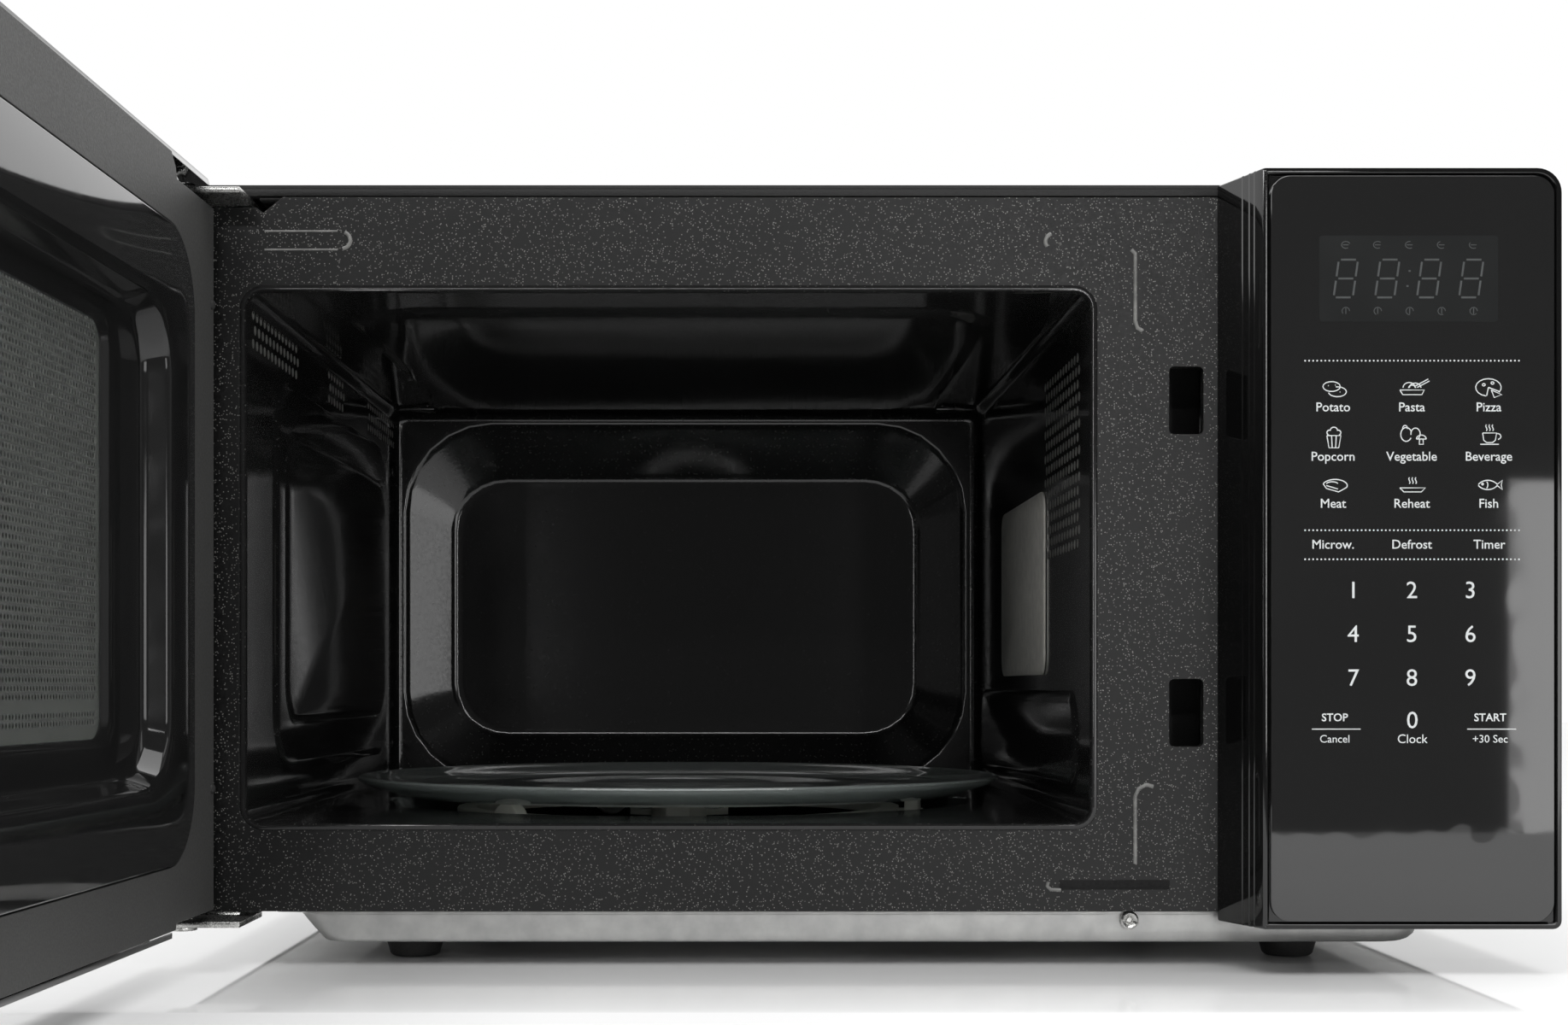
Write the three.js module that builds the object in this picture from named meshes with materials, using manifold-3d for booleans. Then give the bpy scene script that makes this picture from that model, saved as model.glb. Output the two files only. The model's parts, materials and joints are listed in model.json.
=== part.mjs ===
// A countertop microwave oven with its door open, in millimetres, +Z up.
// X runs to the right of a person who faces the oven, and Y runs from the door to the rear.
// Every piece is drawn where it sits with the door shut, the front frame's face lying on Y = 0.
import * as THREE from "three";
import { mergeVertices } from "three/addons/utils/BufferGeometryUtils.js";
import Module from "manifold-3d";

const wasm = await Module();
wasm.setup();

const gap = 0.3; // between pieces that touch
const sheet = 1.2; // pressed steel
const wall = 2.2; // moulded plastic

const cabinet = { half: 241.5, top: 278.2, bottom: 17, depth: 361, lip: 3.9 };
const frame = { half: 240, bottom: 19, top: 274, flange: 12 };
const cavity = { left: -217.6, right: 83.6, floor: 50.4, ceiling: 240, depth: 340, corner: 5 };
const rearPanel = { front: 358.5, half: 239.9, bottom: 19.2, top: 276.6 };
const emboss = { left: -186, right: 51.5, bottom: 76, top: 206, corner: 26, band: 23, depth: 10.5 };
const turntable = { x: -67, y: 170, recess: 12.9, recessRadius: 118, recessSlope: 8 };
const roller = { track: 102, radius: 7.5, width: 6, bore: 2.4, angles: [-10, 110, -130] };
const plate = { radius: 138, foot: 120, underside: 53.1, thickness: 4.3, crest: 61.4 };
const latchSlot = { left: 111.9, right: 123.8, height: 24, bottoms: [77.9, 189.4] };
const base = { left: -190, right: 194, slope: 10, bottom: 7.5, rim: 17.4, front: 4, rear: 354 };
const foot = { x: 161.6, front: 30, rear: 330, height: 7.2, top: 11, bottom: 9.2 };
const panel = { left: 129, faceLeft: 138.5, right: 241.5, bottom: 15.6, top: 278, face: -26.5 };
const display = { left: 157.9, right: 219.4, bottom: 225, top: 254.6 };
const mica = { front: 105, rear: 236, bottom: 104, top: 179, corner: 8 };
const door = { left: -241.5, right: 127.5, bottom: 15.6, top: 278, face: -26.5, back: -2 };
const doorGlass = { left: -233, right: 119, bottom: 24.5, top: 267.5, thickness: 2.8 };
const choke = { left: -217, right: 103, bottom: 40, top: 252, corner: 27, face: -1.6 };
const screen = { left: -158.5, right: 44.5, bottom: 83, top: 213.5, corner: 8 };
const hinge = { x: -237.15, y: -11.85, pin: 3, opening: 92, notch: 45, upper: 270.6, lower: 15.6 };
const fan = { x: 172, z: 190, bore: 50, blade: 45, front: 320, hub: 12, blades: 6 };

// Solids.

// A closed three.js geometry as a solid that can be cut and joined.
function solid(geometry) {
  const bare = geometry.clone();
  bare.deleteAttribute("normal");
  bare.deleteAttribute("uv");
  const merged = mergeVertices(bare, 1e-4);
  const corners = [...merged.index.array];
  const triangles = [];
  for (let i = 0; i < corners.length; i += 3) {
    const [a, b, c] = corners.slice(i, i + 3);
    if (a !== b && b !== c && c !== a) triangles.push(a, b, c);
  }
  const vertProperties = merged.attributes.position.array;
  return new wasm.Manifold(
    new wasm.Mesh({ numProp: 3, vertProperties, triVerts: new Uint32Array(triangles) }),
  );
}

// A solid as a three.js geometry.
function geometryOf(made) {
  const mesh = made.getMesh();
  const geometry = new THREE.BufferGeometry();
  geometry.setAttribute("position", new THREE.BufferAttribute(mesh.vertProperties, 3));
  geometry.setIndex(new THREE.BufferAttribute(mesh.triVerts, 1));
  geometry.computeVertexNormals();
  return geometry;
}

const join = (first, ...others) => others.reduce((sum, other) => sum.add(other), first);
const cut = (first, ...others) => others.reduce((rest, other) => rest.subtract(other), first);

// A box between two corners.
function block([x0, x1], [y0, y1], [z0, z1]) {
  const box = new THREE.BoxGeometry(x1 - x0, y1 - y0, z1 - z0);
  return solid(box.translate((x0 + x1) / 2, (y0 + y1) / 2, (z0 + z1) / 2));
}

// A closed outline through a list of points.
const outline = (points) => new THREE.Shape(points.map(([u, v]) => new THREE.Vector2(u, v)));

// A rectangle with round corners.
function rounded([u0, u1], [v0, v1], radius) {
  const shape = new THREE.Shape();
  const turn = Math.PI / 2;
  shape.absarc(u1 - radius, v0 + radius, radius, -turn, 0);
  shape.absarc(u1 - radius, v1 - radius, radius, 0, turn);
  shape.absarc(u0 + radius, v1 - radius, radius, turn, 2 * turn);
  shape.absarc(u0 + radius, v0 + radius, radius, 2 * turn, 3 * turn);
  return shape;
}

// The outline in X and Z, drawn out along Y.
function alongY(shape, [y0, y1], steps = 5) {
  const settings = { depth: y1 - y0, bevelEnabled: false, curveSegments: steps };
  return solid(new THREE.ExtrudeGeometry(shape, settings).rotateX(Math.PI / 2).translate(0, y1, 0));
}

// The outline in X and Y, drawn out along Z.
function alongZ(shape, [z0, z1], steps = 5) {
  const settings = { depth: z1 - z0, bevelEnabled: false, curveSegments: steps };
  return solid(new THREE.ExtrudeGeometry(shape, settings).translate(0, 0, z0));
}

// The outline in Y and Z, drawn out along X.
function alongX(shape, [x0, x1], steps = 5) {
  const settings = { depth: x1 - x0, bevelEnabled: false, curveSegments: steps };
  const turned = new THREE.Matrix4().set(0, 0, 1, x0, 1, 0, 0, 0, 0, 1, 0, 0, 0, 0, 0, 1);
  return solid(new THREE.ExtrudeGeometry(shape, settings).applyMatrix4(turned));
}

// A profile of [radius, height] points turned about Z, listed from the bottom up on its outer side.
function turnedAboutZ(profile, [x, y], segments = 24) {
  const points = profile.map(([r, z]) => new THREE.Vector2(r, z));
  return solid(new THREE.LatheGeometry(points, segments).rotateX(Math.PI / 2).translate(x, y, 0));
}

const disc = (radius, [x, y], [z0, z1], segments = 20) =>
  turnedAboutZ([[0, z0], [radius, z0], [radius, z1], [0, z1]], [x, y], segments);

// The same disc with its axis along Y or along X.
function discAlongY(radius, [x, z], [y0, y1], segments = 24) {
  const rod = new THREE.CylinderGeometry(radius, radius, y1 - y0, segments);
  return solid(rod.translate(x, (y0 + y1) / 2, z));
}
function discAlongX(radius, [y, z], [x0, x1], segments = 24) {
  const rod = new THREE.CylinderGeometry(radius, radius, x1 - x0, segments);
  return solid(rod.rotateZ(Math.PI / 2).translate((x0 + x1) / 2, y, z));
}

// Grow a pair of limits by the same amount at both ends.
const grown = ([low, high], by) => [low - by, high + by];

// Scene graph.

const oven = new THREE.Group();
const doorSwing = new THREE.Group(); // turns about the hinge pins
const doorLeaf = new THREE.Group(); // the shut door's pieces, measured from the pins
doorSwing.position.set(hinge.x, hinge.y, 0);
doorSwing.rotation.z = THREE.MathUtils.degToRad(-hinge.opening);
doorLeaf.position.set(-hinge.x, -hinge.y, 0);
doorSwing.add(doorLeaf);
oven.add(doorSwing);

const finishes = {
  enamel: [0x242424, 0.55, 0.3],
  coverPaint: [0x1c1c1c, 0.6, 0.2],
  galvanised: [0xa8a8a8, 0.45, 0.9],
  steel: [0xb4b4b4, 0.35, 1],
  doorPaint: [0x484848, 0.65, 0.2],
  glossBlack: [0x181818, 0.15, 0],
  mattBlack: [0x2a2a2a, 0.6, 0],
  whitePlastic: [0xe4e2da, 0.5, 0],
  glass: [0xcfd8d6, 0.05, 0],
  mica: [0x6f6f6c, 0.6, 0],
  board: [0x2d5a3a, 0.6, 0],
  copper: [0xb06a3c, 0.4, 1],
  aluminium: [0xc4c6c8, 0.4, 1],
};

function add(name, made, finish, parent = oven) {
  const [color, roughness, metalness] = finishes[finish];
  const mesh = new THREE.Mesh(
    geometryOf(made),
    new THREE.MeshStandardMaterial({ color, roughness, metalness }),
  );
  mesh.name = name;
  parent.add(mesh);
}

// Cabinet.

const cavityX = [cavity.left, cavity.right];
const cavityZ = [cavity.floor, cavity.ceiling];
const hub = [turntable.x, turntable.y];
const recessFloor = cavity.floor - turntable.recess;

// The pressed form in the rear wall, grown outwards by the sheet for its outer side.
function rearEmboss(by) {
  const shape = rounded([emboss.left - by, emboss.right + by], [emboss.bottom - by, emboss.top + by],
    emboss.corner + by);
  const press = new THREE.ExtrudeGeometry(shape, {
    depth: 1,
    bevelSize: emboss.band,
    bevelThickness: emboss.depth,
    bevelSegments: 1,
    curveSegments: 4,
  });
  return solid(press.rotateX(Math.PI / 2).translate(0, cavity.depth + by, 0));
}

// The round well in the floor that the roller ring runs in.
function recess(by) {
  const low = recessFloor - by;
  const bottom = turntable.recessRadius + by;
  const top = bottom + turntable.recessSlope;
  return turnedAboutZ([[0, low], [bottom, low], [top, cavity.floor], [0, cavity.floor]], hub, 40);
}

function cavityLiner() {
  const outside = join(
    alongY(rounded(grown(cavityX, sheet), grown(cavityZ, sheet), cavity.corner + sheet),
      [sheet + gap, cavity.depth + sheet]),
    rearEmboss(sheet),
    recess(sheet),
  );
  const shaftHole = disc(7, hub, [recessFloor - 5, recessFloor + 1]);
  const waveguidePort = block([cavity.right - 1, cavity.right + 5], [130, 215], [120, 164]);
  return cut(
    outside,
    alongY(rounded(cavityX, cavityZ, cavity.corner), [0, cavity.depth]),
    rearEmboss(0),
    recess(0).translate([0, 0, 0.01]),
    shaftHole,
    waveguidePort,
  );
}

function frontFrame() {
  const slots = latchSlot.bottoms.map((z) =>
    block([latchSlot.left, latchSlot.right], [-1, 2], [z, z + latchSlot.height]));
  const plateAndFlanges = cut(
    block([-frame.half, frame.half], [0, frame.flange], [frame.bottom, frame.top]),
    block([-frame.half + sheet, frame.half - sheet], [sheet, frame.flange + 1],
      [frame.bottom + sheet, frame.top - sheet]),
  );
  const hingeSide = [-frame.half - 1, -213];
  return cut(
    plateAndFlanges,
    alongY(rounded(cavityX, cavityZ, cavity.corner), [-1, sheet + 1]),
    ...slots,
    block([152, 214], [-1, 2], [62, 128]), // lets the board's transformer through
    block(hingeSide, [-1, frame.flange + 1], [hinge.upper - gap, frame.top + 1]),
    block(hingeSide, [sheet, frame.flange + 1], [frame.bottom - 1, frame.bottom + 4]),
    alongY(outline([[-212, 268.4], [-203, frame.top + 1], [-214, frame.top + 1]]), [-1, 13]),
  );
}

// Rows of upright slots through a cover's side wall.
function sideVents(x, [yFirst, yPitch, count], [z0, z1]) {
  return Array.from({ length: count }, (_, i) =>
    block([x - 4, x + 4], [yFirst + i * yPitch, yFirst + i * yPitch + 4], [z0, z1]));
}

function outerCover() {
  const inside = cabinet.half - sheet;
  const shell = cut(
    block([-cabinet.half, cabinet.half], [0, cabinet.depth], [cabinet.bottom, cabinet.top]),
    block([-inside, inside], [-1, cabinet.depth + 1], [cabinet.bottom - 1, cabinet.top - sheet]),
  );
  const lip = block([-inside, inside], [0, 9], [cabinet.top - cabinet.lip, cabinet.top - sheet / 2]);
  return cut(
    join(shell, lip),
    ...sideVents(cabinet.half, [236, 12, 8], [150, 190]),
    ...sideVents(-cabinet.half, [60, 12, 6], [215, 240]),
  );
}

function rearSheet() {
  const vents = Array.from({ length: 9 }, (_, i) =>
    block([132, 212], [rearPanel.front - 1, rearPanel.front + 3], [150 + i * 9, 154 + i * 9]));
  return cut(
    block([-rearPanel.half, rearPanel.half], [rearPanel.front, rearPanel.front + sheet],
      [rearPanel.bottom, rearPanel.top]),
    ...vents,
    discAlongY(6.2, [gland.x, gland.z], [rearPanel.front - 1, rearPanel.front + 3]),
  );
}

// The drawn tray under the oven: a straight slope on the left and a round one on the right.
function baseTray(by, top) {
  const low = base.bottom + by;
  const shape = new THREE.Shape();
  shape.moveTo(base.left - base.slope + by, base.rim);
  shape.lineTo(base.left + by / 2, low);
  shape.lineTo(base.right, low);
  shape.absarc(base.right, base.rim, base.rim - low, -Math.PI / 2, 0);
  shape.lineTo(base.right + base.rim - low, top);
  shape.lineTo(base.left - base.slope + by, top);
  return alongY(shape, [base.front + by, base.rear - by]);
}

function basePlate() {
  const flange = block([-rearPanel.half, rearPanel.half], [frame.flange + 1.5, rearPanel.front - gap],
    [base.rim, base.rim + sheet]);
  const hingeCorner = block([-rearPanel.half - 1, -210], [0, 18], [base.rim - 1, base.rim + 2]);
  const vents = [];
  for (let i = 0; i < 8; i++) {
    vents.push(block([110, 150], [180 + i * 10, 184 + i * 10], [base.bottom - 1, base.bottom + 3]));
  }
  return cut(join(cut(flange, hingeCorner), baseTray(0, base.rim + sheet)),
    baseTray(sheet, base.rim + 5), ...vents);
}

function footAt(x, y) {
  const profile = [[0, 0], [foot.bottom - 1, 0], [foot.bottom, 1], [foot.top, foot.height],
    [0, foot.height]];
  return turnedAboutZ(profile, [x, y], 20);
}

const gland = { x: 205, z: 42 };
function cordGland() {
  const profile = [[3.6, 352], [5.7, 352], [5.7, 360], [9, 360], [9, 363], [5.4, 367], [3.6, 367],
    [3.6, 352]].map(([r, y]) => new THREE.Vector2(r, y));
  return solid(new THREE.LatheGeometry(profile, 20).translate(gland.x, 0, gland.z));
}

function coverScrew(x, z) {
  const back = rearPanel.front + sheet + gap;
  return join(discAlongY(3.8, [x, z], [back, back + 1.8], 12), discAlongY(1.9, [x, z],
    [back + 1, back + 2.2], 6));
}

add("cavity_liner", cavityLiner(), "enamel");
add("front_frame", frontFrame(), "enamel");
add("outer_cover", outerCover(), "coverPaint");
add("rear_panel", rearSheet(), "galvanised");
add("base_plate", basePlate(), "galvanised");
for (const [side, x] of [["left", -foot.x], ["right", foot.x]]) {
  add("foot_front_" + side, footAt(x, foot.front), "mattBlack");
  add("foot_rear_" + side, footAt(x, foot.rear), "mattBlack");
  add("cover_screw_" + side, coverScrew(Math.sign(x) * 226, 262), "steel");
}
add("cord_gland", cordGland(), "mattBlack");

// Control panel.

const panelZ = [panel.bottom, panel.top];
const displayX = [display.left, display.right];
const displayZ = [display.bottom, display.top];

// The panel's outline from above, moved inwards by a wall's thickness.
function panelPlan(by) {
  const back = by ? 5 : -gap;
  return outline([[panel.left + by, back], [panel.faceLeft + by, panel.face + by],
    [panel.right - by, panel.face + by], [panel.right - by, back]]);
}

function panelHousing() {
  const topCorner = 8.5;
  const face = new THREE.Shape();
  face.moveTo(panel.left - 1, panel.bottom);
  face.lineTo(panel.right - 3, panel.bottom);
  face.absarc(panel.right - 3, panel.bottom + 3, 3, -Math.PI / 2, 0);
  face.absarc(panel.right - topCorner, panel.top - topCorner, topCorner, 0, Math.PI / 2);
  face.lineTo(panel.left - 1, panel.top);
  const outside = alongZ(panelPlan(0), panelZ).intersect(alongY(face, [panel.face - 1, 1]));
  return cut(
    outside,
    alongZ(panelPlan(wall + 1), grown(panelZ, -wall)),
    alongY(rounded([141, 239.2], [18, 275.6], 7), [panel.face - 1, panel.face + 1.5]),
    alongY(rounded(grown(displayX, -2), grown(displayZ, -2), 1), [panel.face - 1, panel.face + 5]),
  );
}

function panelOverlay() {
  return cut(
    alongY(rounded([141.3, 238.9], [18.3, 275.3], 6.7), [panel.face, panel.face + 1.2]),
    alongY(rounded(displayX, displayZ, 1), [panel.face - 1, panel.face + 2]),
  );
}

function boardTransformer() {
  const core = block([162, 204], [-10.4, 24], [78, 112]);
  return join(core, block([168, 198], [-10.4, 20], [72, 118]));
}

function boardAndConnectors() {
  return join(
    block([146, 234], [-12.4, -10.8], [60, 262]),
    block([205, 228], [-11, -3], [150, 156]), // plug rows
    block([205, 228], [-11, -3], [170, 176]),
    block([152, 160], [-11, -3], [180, 205]),
  );
}

add("control_panel_housing", panelHousing(), "glossBlack");
add("control_panel_overlay", panelOverlay(), "glossBlack");
add("display_window", alongY(rounded(grown(displayX, -gap), grown(displayZ, -gap), 0.7),
  [panel.face + 0.1, panel.face + 1.1]), "glossBlack");
add("display_module", block([159.9, 217.4], [-20, -12.7], [227, 252.6]), "mattBlack");
add("control_board", boardAndConnectors(), "board");
add("power_relay", block([152, 171], [-10.5, -1], [132, 148]), "mattBlack");
add("board_transformer", boardTransformer(), "copper");

// Microwave source.

const guide = { left: cavity.right + sheet + gap, right: 120, y: [112, 240], z: [98, 186] };
const antenna = [185, 142]; // Y and Z of the tube's axis

function waveguide() {
  return cut(
    block([guide.left, guide.right], guide.y, guide.z),
    block([guide.left - 1, guide.right - sheet], grown(guide.y, -sheet), grown(guide.z, -sheet)),
    discAlongX(14, antenna, [guide.right - 3, guide.right + 1]),
  );
}

function magnetronCore() {
  const anode = discAlongX(19.5, antenna, [123.8, 189.2], 20);
  const cap = discAlongX(8, antenna, [98, 124], 16);
  const fins = Array.from({ length: 5 }, (_, i) =>
    block([133 + i * 11, 134 + i * 11], [145, 225], [103, 181]));
  return join(anode, cap, ...fins);
}

function magnetronYoke() {
  return cut(
    block([121.5, 191.5], [140, 230], [97, 187]),
    block([123.5, 189.5], [139, 231], [99, 185]),
    discAlongX(15, antenna, [120, 125]),
    discAlongX(10, antenna, [188, 193], 16),
  );
}

function filterBox() {
  return join(
    block([191.8, 213], [162, 208], [116, 168]),
    block([200, 205], [208, 222], [128, 134]), // the two heater terminals
    block([200, 205], [208, 222], [150, 156]),
  );
}

// Laminated core with its windings, one above the other on the middle limb.
const coreX = [104, 190];
const coreY = [60, 130];
const limb = [132, 162];
function transformerCore() {
  const windows = [[118.5, limb[0]], [limb[1], 175.5]].map((x) =>
    block(x, grown(coreY, 1), [25, 67]));
  return cut(block(coreX, coreY, [9.2, 82]), ...windows);
}
function winding([z0, z1]) {
  return cut(
    alongZ(rounded([119, 175], [50, 140], 8), [z0, z1], 3),
    block(grown(limb, gap), grown(coreY, gap), [z0 - 1, z1 + 1]),
  );
}

function capacitor() {
  const can = alongY(rounded([112, 164], [12, 44], 15), [262, 340], 6);
  const terminals = [128, 148].map((x) => block([x - 3, x + 3], [254, 263], [26, 30]));
  return join(can, ...terminals);
}
function capacitorClamp() {
  const band = cut(
    alongY(rounded([109.7, 166.3], [9.7, 46.3], 17), [290, 306], 6),
    alongY(rounded([111.7, 164.3], [11.7, 44.3], 15), [289, 307], 6),
  );
  return join(band, block([146, 186], [290, 306], [9.7, 11.7]));
}
const diode = join(discAlongX(4, [248, 20], [112, 134], 12), block([134, 160], [246, 250], [19, 21]));

add("waveguide", waveguide(), "galvanised");
add("waveguide_cover", alongX(rounded([mica.front, mica.rear], [mica.bottom, mica.top],
  mica.corner), [cavity.right - gap - 1, cavity.right - gap]), "mica");
add("magnetron_core", magnetronCore(), "aluminium");
add("magnetron_yoke", magnetronYoke(), "steel");
add("magnetron_filter_box", filterBox(), "galvanised");
add("transformer_core", transformerCore(), "steel");
add("primary_winding", winding([26, 44]), "copper");
add("secondary_winding", winding([48, 66]), "copper");
add("hv_capacitor", capacitor(), "aluminium");
add("capacitor_clamp", capacitorClamp(), "galvanised");
add("hv_diode", diode, "mattBlack");

// Cooling, lamp, filter.

function fanDuct() {
  const collar = discAlongY(fan.bore + 2, [fan.x, fan.z], [314, 350.5], 32);
  const face = block([112, 232], [350, 352], [131, 249]);
  return cut(join(collar, face), discAlongY(fan.bore, [fan.x, fan.z], [313, 353], 32));
}

function fanBlade() {
  const centre = discAlongY(fan.hub, [fan.x, fan.z], [fan.front, fan.front + 16]);
  const blades = Array.from({ length: fan.blades }, (_, i) => {
    const slat = new THREE.BoxGeometry(fan.blade - fan.hub + 4, 1.6, 20);
    slat.rotateX(Math.PI / 5); // the pitch of the blade
    slat.translate((fan.blade + fan.hub - 4) / 2, fan.front + 8, 0);
    slat.rotateY((i / fan.blades) * 2 * Math.PI);
    return solid(slat.translate(fan.x, 0, fan.z));
  });
  const tips = discAlongY(fan.blade, [fan.x, fan.z], [fan.front - 9, fan.front + 25], 32);
  const bore = discAlongY(2.4, [fan.x, fan.z], [fan.front + 3, fan.front + 20], 16);
  return cut(join(centre, ...blades).intersect(tips), bore);
}

function fanMotor() {
  return join(
    block([154, 190], [340, 353], [172, 208]),
    block([118, 226], [352.3, 354.3], [186, 194]), // the arms it hangs on
    block([160, 184], [338, 356], [175, 187]), // the coil
    discAlongY(2, [fan.x, fan.z], [fan.front + 4, 341], 16),
  );
}

function lampHolder() {
  return join(
    disc(10, [104, 67], [206, 222], 16),
    block([guide.left, 104], [60, 74], [210, 218]),
  );
}
const bulbProfile = [[0, 172], [6, 174], [10.5, 181], [10.5, 188], [6, 198], [6, 205.5], [0, 205.5]];

function lineFilter() {
  return join(
    block([8, 82], [20, 100], [241.6, 243.4]),
    disc(13, [32, 42], [243, 262], 20), // the toroid choke
    block([52, 74], [28, 52], [243, 266]),
    discAlongX(3.5, [84, 248], [20, 60], 12), // the fuse
    block([20, 24], [80, 88], [243, 248]),
    block([56, 60], [80, 88], [243, 248]),
  );
}

function thermalCutout() {
  const spot = [-67, 260];
  const flange = cavity.ceiling + sheet + gap;
  return join(disc(9, spot, [flange, flange + 9], 16), block([-80, -54], [257, 263],
    [flange, flange + 1]));
}

add("fan_duct", fanDuct(), "mattBlack");
add("fan_blade", fanBlade(), "whitePlastic");
add("fan_motor", fanMotor(), "steel");
add("lamp_holder", lampHolder(), "whitePlastic");
add("lamp_bulb", turnedAboutZ(bulbProfile, [104, 67], 16), "glass");
add("line_filter", lineFilter(), "board");
add("thermal_cutout", thermalCutout(), "mattBlack");

// Turntable.

const rollerHeight = recessFloor + gap + roller.radius;

function turntableMotor() {
  const profile = [[0, 18], [24, 18], [25, 19], [25, 33], [24, 34.6], [0, 34.6]];
  return join(turnedAboutZ(profile, hub, 28), disc(3, hub, [34, 44], 16));
}

function driveCoupler() {
  const low = recessFloor + 0.6;
  const lobes = [30, 150, 270].map((degrees) =>
    block([0, 22], [-5, 5], [43, 50.5]).rotate([0, 0, degrees]).translate([...hub, 0]));
  return cut(
    join(disc(12, hub, [low, 50.5]), ...lobes),
    disc(3.3, hub, [low - 1, 45.5], 16),
  );
}

function rollerRing() {
  const ring = turnedAboutZ([[88, 43], [96, 43], [96, 47.6], [88, 47.6], [88, 43]], hub, 40);
  const stubs = roller.angles.map((degrees) =>
    discAlongX(2, [0, rollerHeight], [94, 106.5], 12).rotate([0, 0, degrees])
      .translate([...hub, 0]));
  return join(ring, ...stubs);
}

function rollerWheel(degrees) {
  const inner = roller.track - roller.width / 2;
  const outer = roller.track + roller.width / 2;
  const wheel = cut(
    discAlongX(roller.radius, [0, rollerHeight], [inner, outer], 20),
    discAlongX(roller.bore, [0, rollerHeight], [inner - 1, outer + 1], 12),
  );
  return wheel.rotate([0, 0, degrees]).translate([...hub, 0]);
}

function glassPlate() {
  const low = plate.underside;
  const floor = low + plate.thickness;
  const dish = turnedAboutZ([[0, low], [plate.foot, low], [plate.radius - 1, plate.crest - 2.6],
    [plate.radius, plate.crest - 1], [plate.radius - 1.5, plate.crest],
    [plate.radius - 4, plate.crest - 0.6], [plate.foot - 2, floor], [0, floor]], hub, 56);
  const lugs = [90, 210, 330].map((degrees) =>
    block([14.5, 21], [-4, 4], [46.5, low + 1]).rotate([0, 0, degrees]).translate([...hub, 0]));
  return join(dish, ...lugs);
}

add("turntable_motor", turntableMotor(), "galvanised");
add("drive_coupler", driveCoupler(), "whitePlastic");
add("roller_ring", rollerRing(), "whitePlastic");
roller.angles.forEach((degrees, i) =>
  add("roller_" + (i + 1), rollerWheel(degrees), "whitePlastic"));
add("glass_plate", glassPlate(), "glass");

// Door interlock in the cabinet.

function interlockBracket() {
  const pockets = latchSlot.bottoms.map((z) =>
    block([109, 132], [7, 31], [z - 4, z + latchSlot.height + 4]));
  return cut(
    block([105, 129.5], [sheet + gap, 35], [62, 232]),
    ...pockets,
    ...latchSlot.bottoms.map((z) => block([109, 126.5], [0, 8], [z - 2, z + latchSlot.height + 2])),
    block([108, 132], [7, 31], [112, 182]), // the lightened middle
  );
}

function microswitch(y, z) {
  const plunger = block([112, 115], [y - 1.5, y], [z + 12, z + 16]);
  return join(block([110.5, 117], [y, y + 10], [z, z + 20]), plunger);
}

const leverPivot = [24, 128]; // Y and Z
function interlockLever() {
  const eye = discAlongX(4, leverPivot, [119, 124], 16);
  const arm = block([119, 124], grown([leverPivot[0], leverPivot[0]], 2), [leverPivot[1], 152]);
  return cut(join(eye, arm), discAlongX(1.8, leverPivot, [118, 125], 12));
}

add("interlock_bracket", join(interlockBracket(), discAlongX(1.5, leverPivot, [107, 126], 12)),
  "mattBlack");
add("upper_switch", microswitch(36.8, 190), "glossBlack");
add("monitor_switch", microswitch(17, 156), "glossBlack");
add("lower_switch", microswitch(36.8, 80), "glossBlack");
add("interlock_lever", interlockLever(), "whitePlastic");

// Hinges.

const pivot = [hinge.x, hinge.y];
const bracketRight = -215;

// A plate that carries the pin ahead of the front frame, with a tab behind the frame.
function hingeBracket(z, [tab0, tab1]) {
  const arm = outline([[-239.8, 14], [-239.8, -gap], [-241.4, -gap], [-241.4, -17], [-237, -22],
    [bracketRight, -22], [bracketRight, 14]]);
  const leaf = cut(alongZ(arm, [z, z + 2]), disc(hinge.pin + gap, pivot, [z - 1, z + 3]));
  return join(leaf, block([-238.5, -220.2], [sheet + gap, 3.5], [tab0, tab1]));
}

// A headed pin: the head outside the bracket, the shank inside the door's sleeve.
const headedPin = ([shank0, shank1], [head0, head1]) =>
  join(disc(hinge.pin, pivot, [shank0, shank1]), disc(5, pivot, [head0, head1]));

add("upper_hinge_bracket", hingeBracket(hinge.upper, [248, hinge.upper + 1]), "steel");
add("lower_hinge_bracket", hingeBracket(hinge.lower, [hinge.lower + 1, 44]), "steel");
add("upper_hinge_pin", headedPin([256, 273.2], [272.9, 274.4]), "steel");
add("lower_hinge_pin", headedPin([15, 34], [13.7, 15.3]), "steel");

// Door.

// The room that each bracket needs as the door swings: behind the front wall, past the side wall.
const bracketRoom = (z) => block([door.left - 1, door.left + hinge.notch], [-24, 0], z);
const doorNotches = [bracketRoom([268, 276]), bracketRoom([12, 20.3])];

function doorOuterFrame() {
  const doorX = [door.left, door.right];
  const doorZ = [door.bottom, door.top];
  const front = door.face + doorGlass.thickness + 2 * gap;
  const shell = cut(
    alongY(rounded(doorX, doorZ, 3), [door.face, door.back - sheet - gap]),
    block(grown(doorX, -2), [front + 2.4, 0], grown(doorZ, -2)),
  );
  const sleeves = [[252, 267.4], [21, 38]].map((z) => block([-240.5, -230], [-21.5, -5], z));
  return cut(
    join(shell, ...sleeves),
    alongY(rounded([doorGlass.left - gap, doorGlass.right + gap],
      [doorGlass.bottom - gap, doorGlass.top + gap], 4), [door.face - 1, front]),
    alongY(rounded([-205, 88], [52, 240], 6), [door.face - 1, 0]),
    ...doorNotches,
    disc(hinge.pin + 0.15, pivot, [240, 280], 32),
    disc(hinge.pin + 0.15, pivot, [10, 36], 32),
  );
}

const doorGlassPane = () =>
  alongY(rounded([doorGlass.left, doorGlass.right], [doorGlass.bottom, doorGlass.top], 3.7),
    [door.face, door.face + doorGlass.thickness]);

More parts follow.
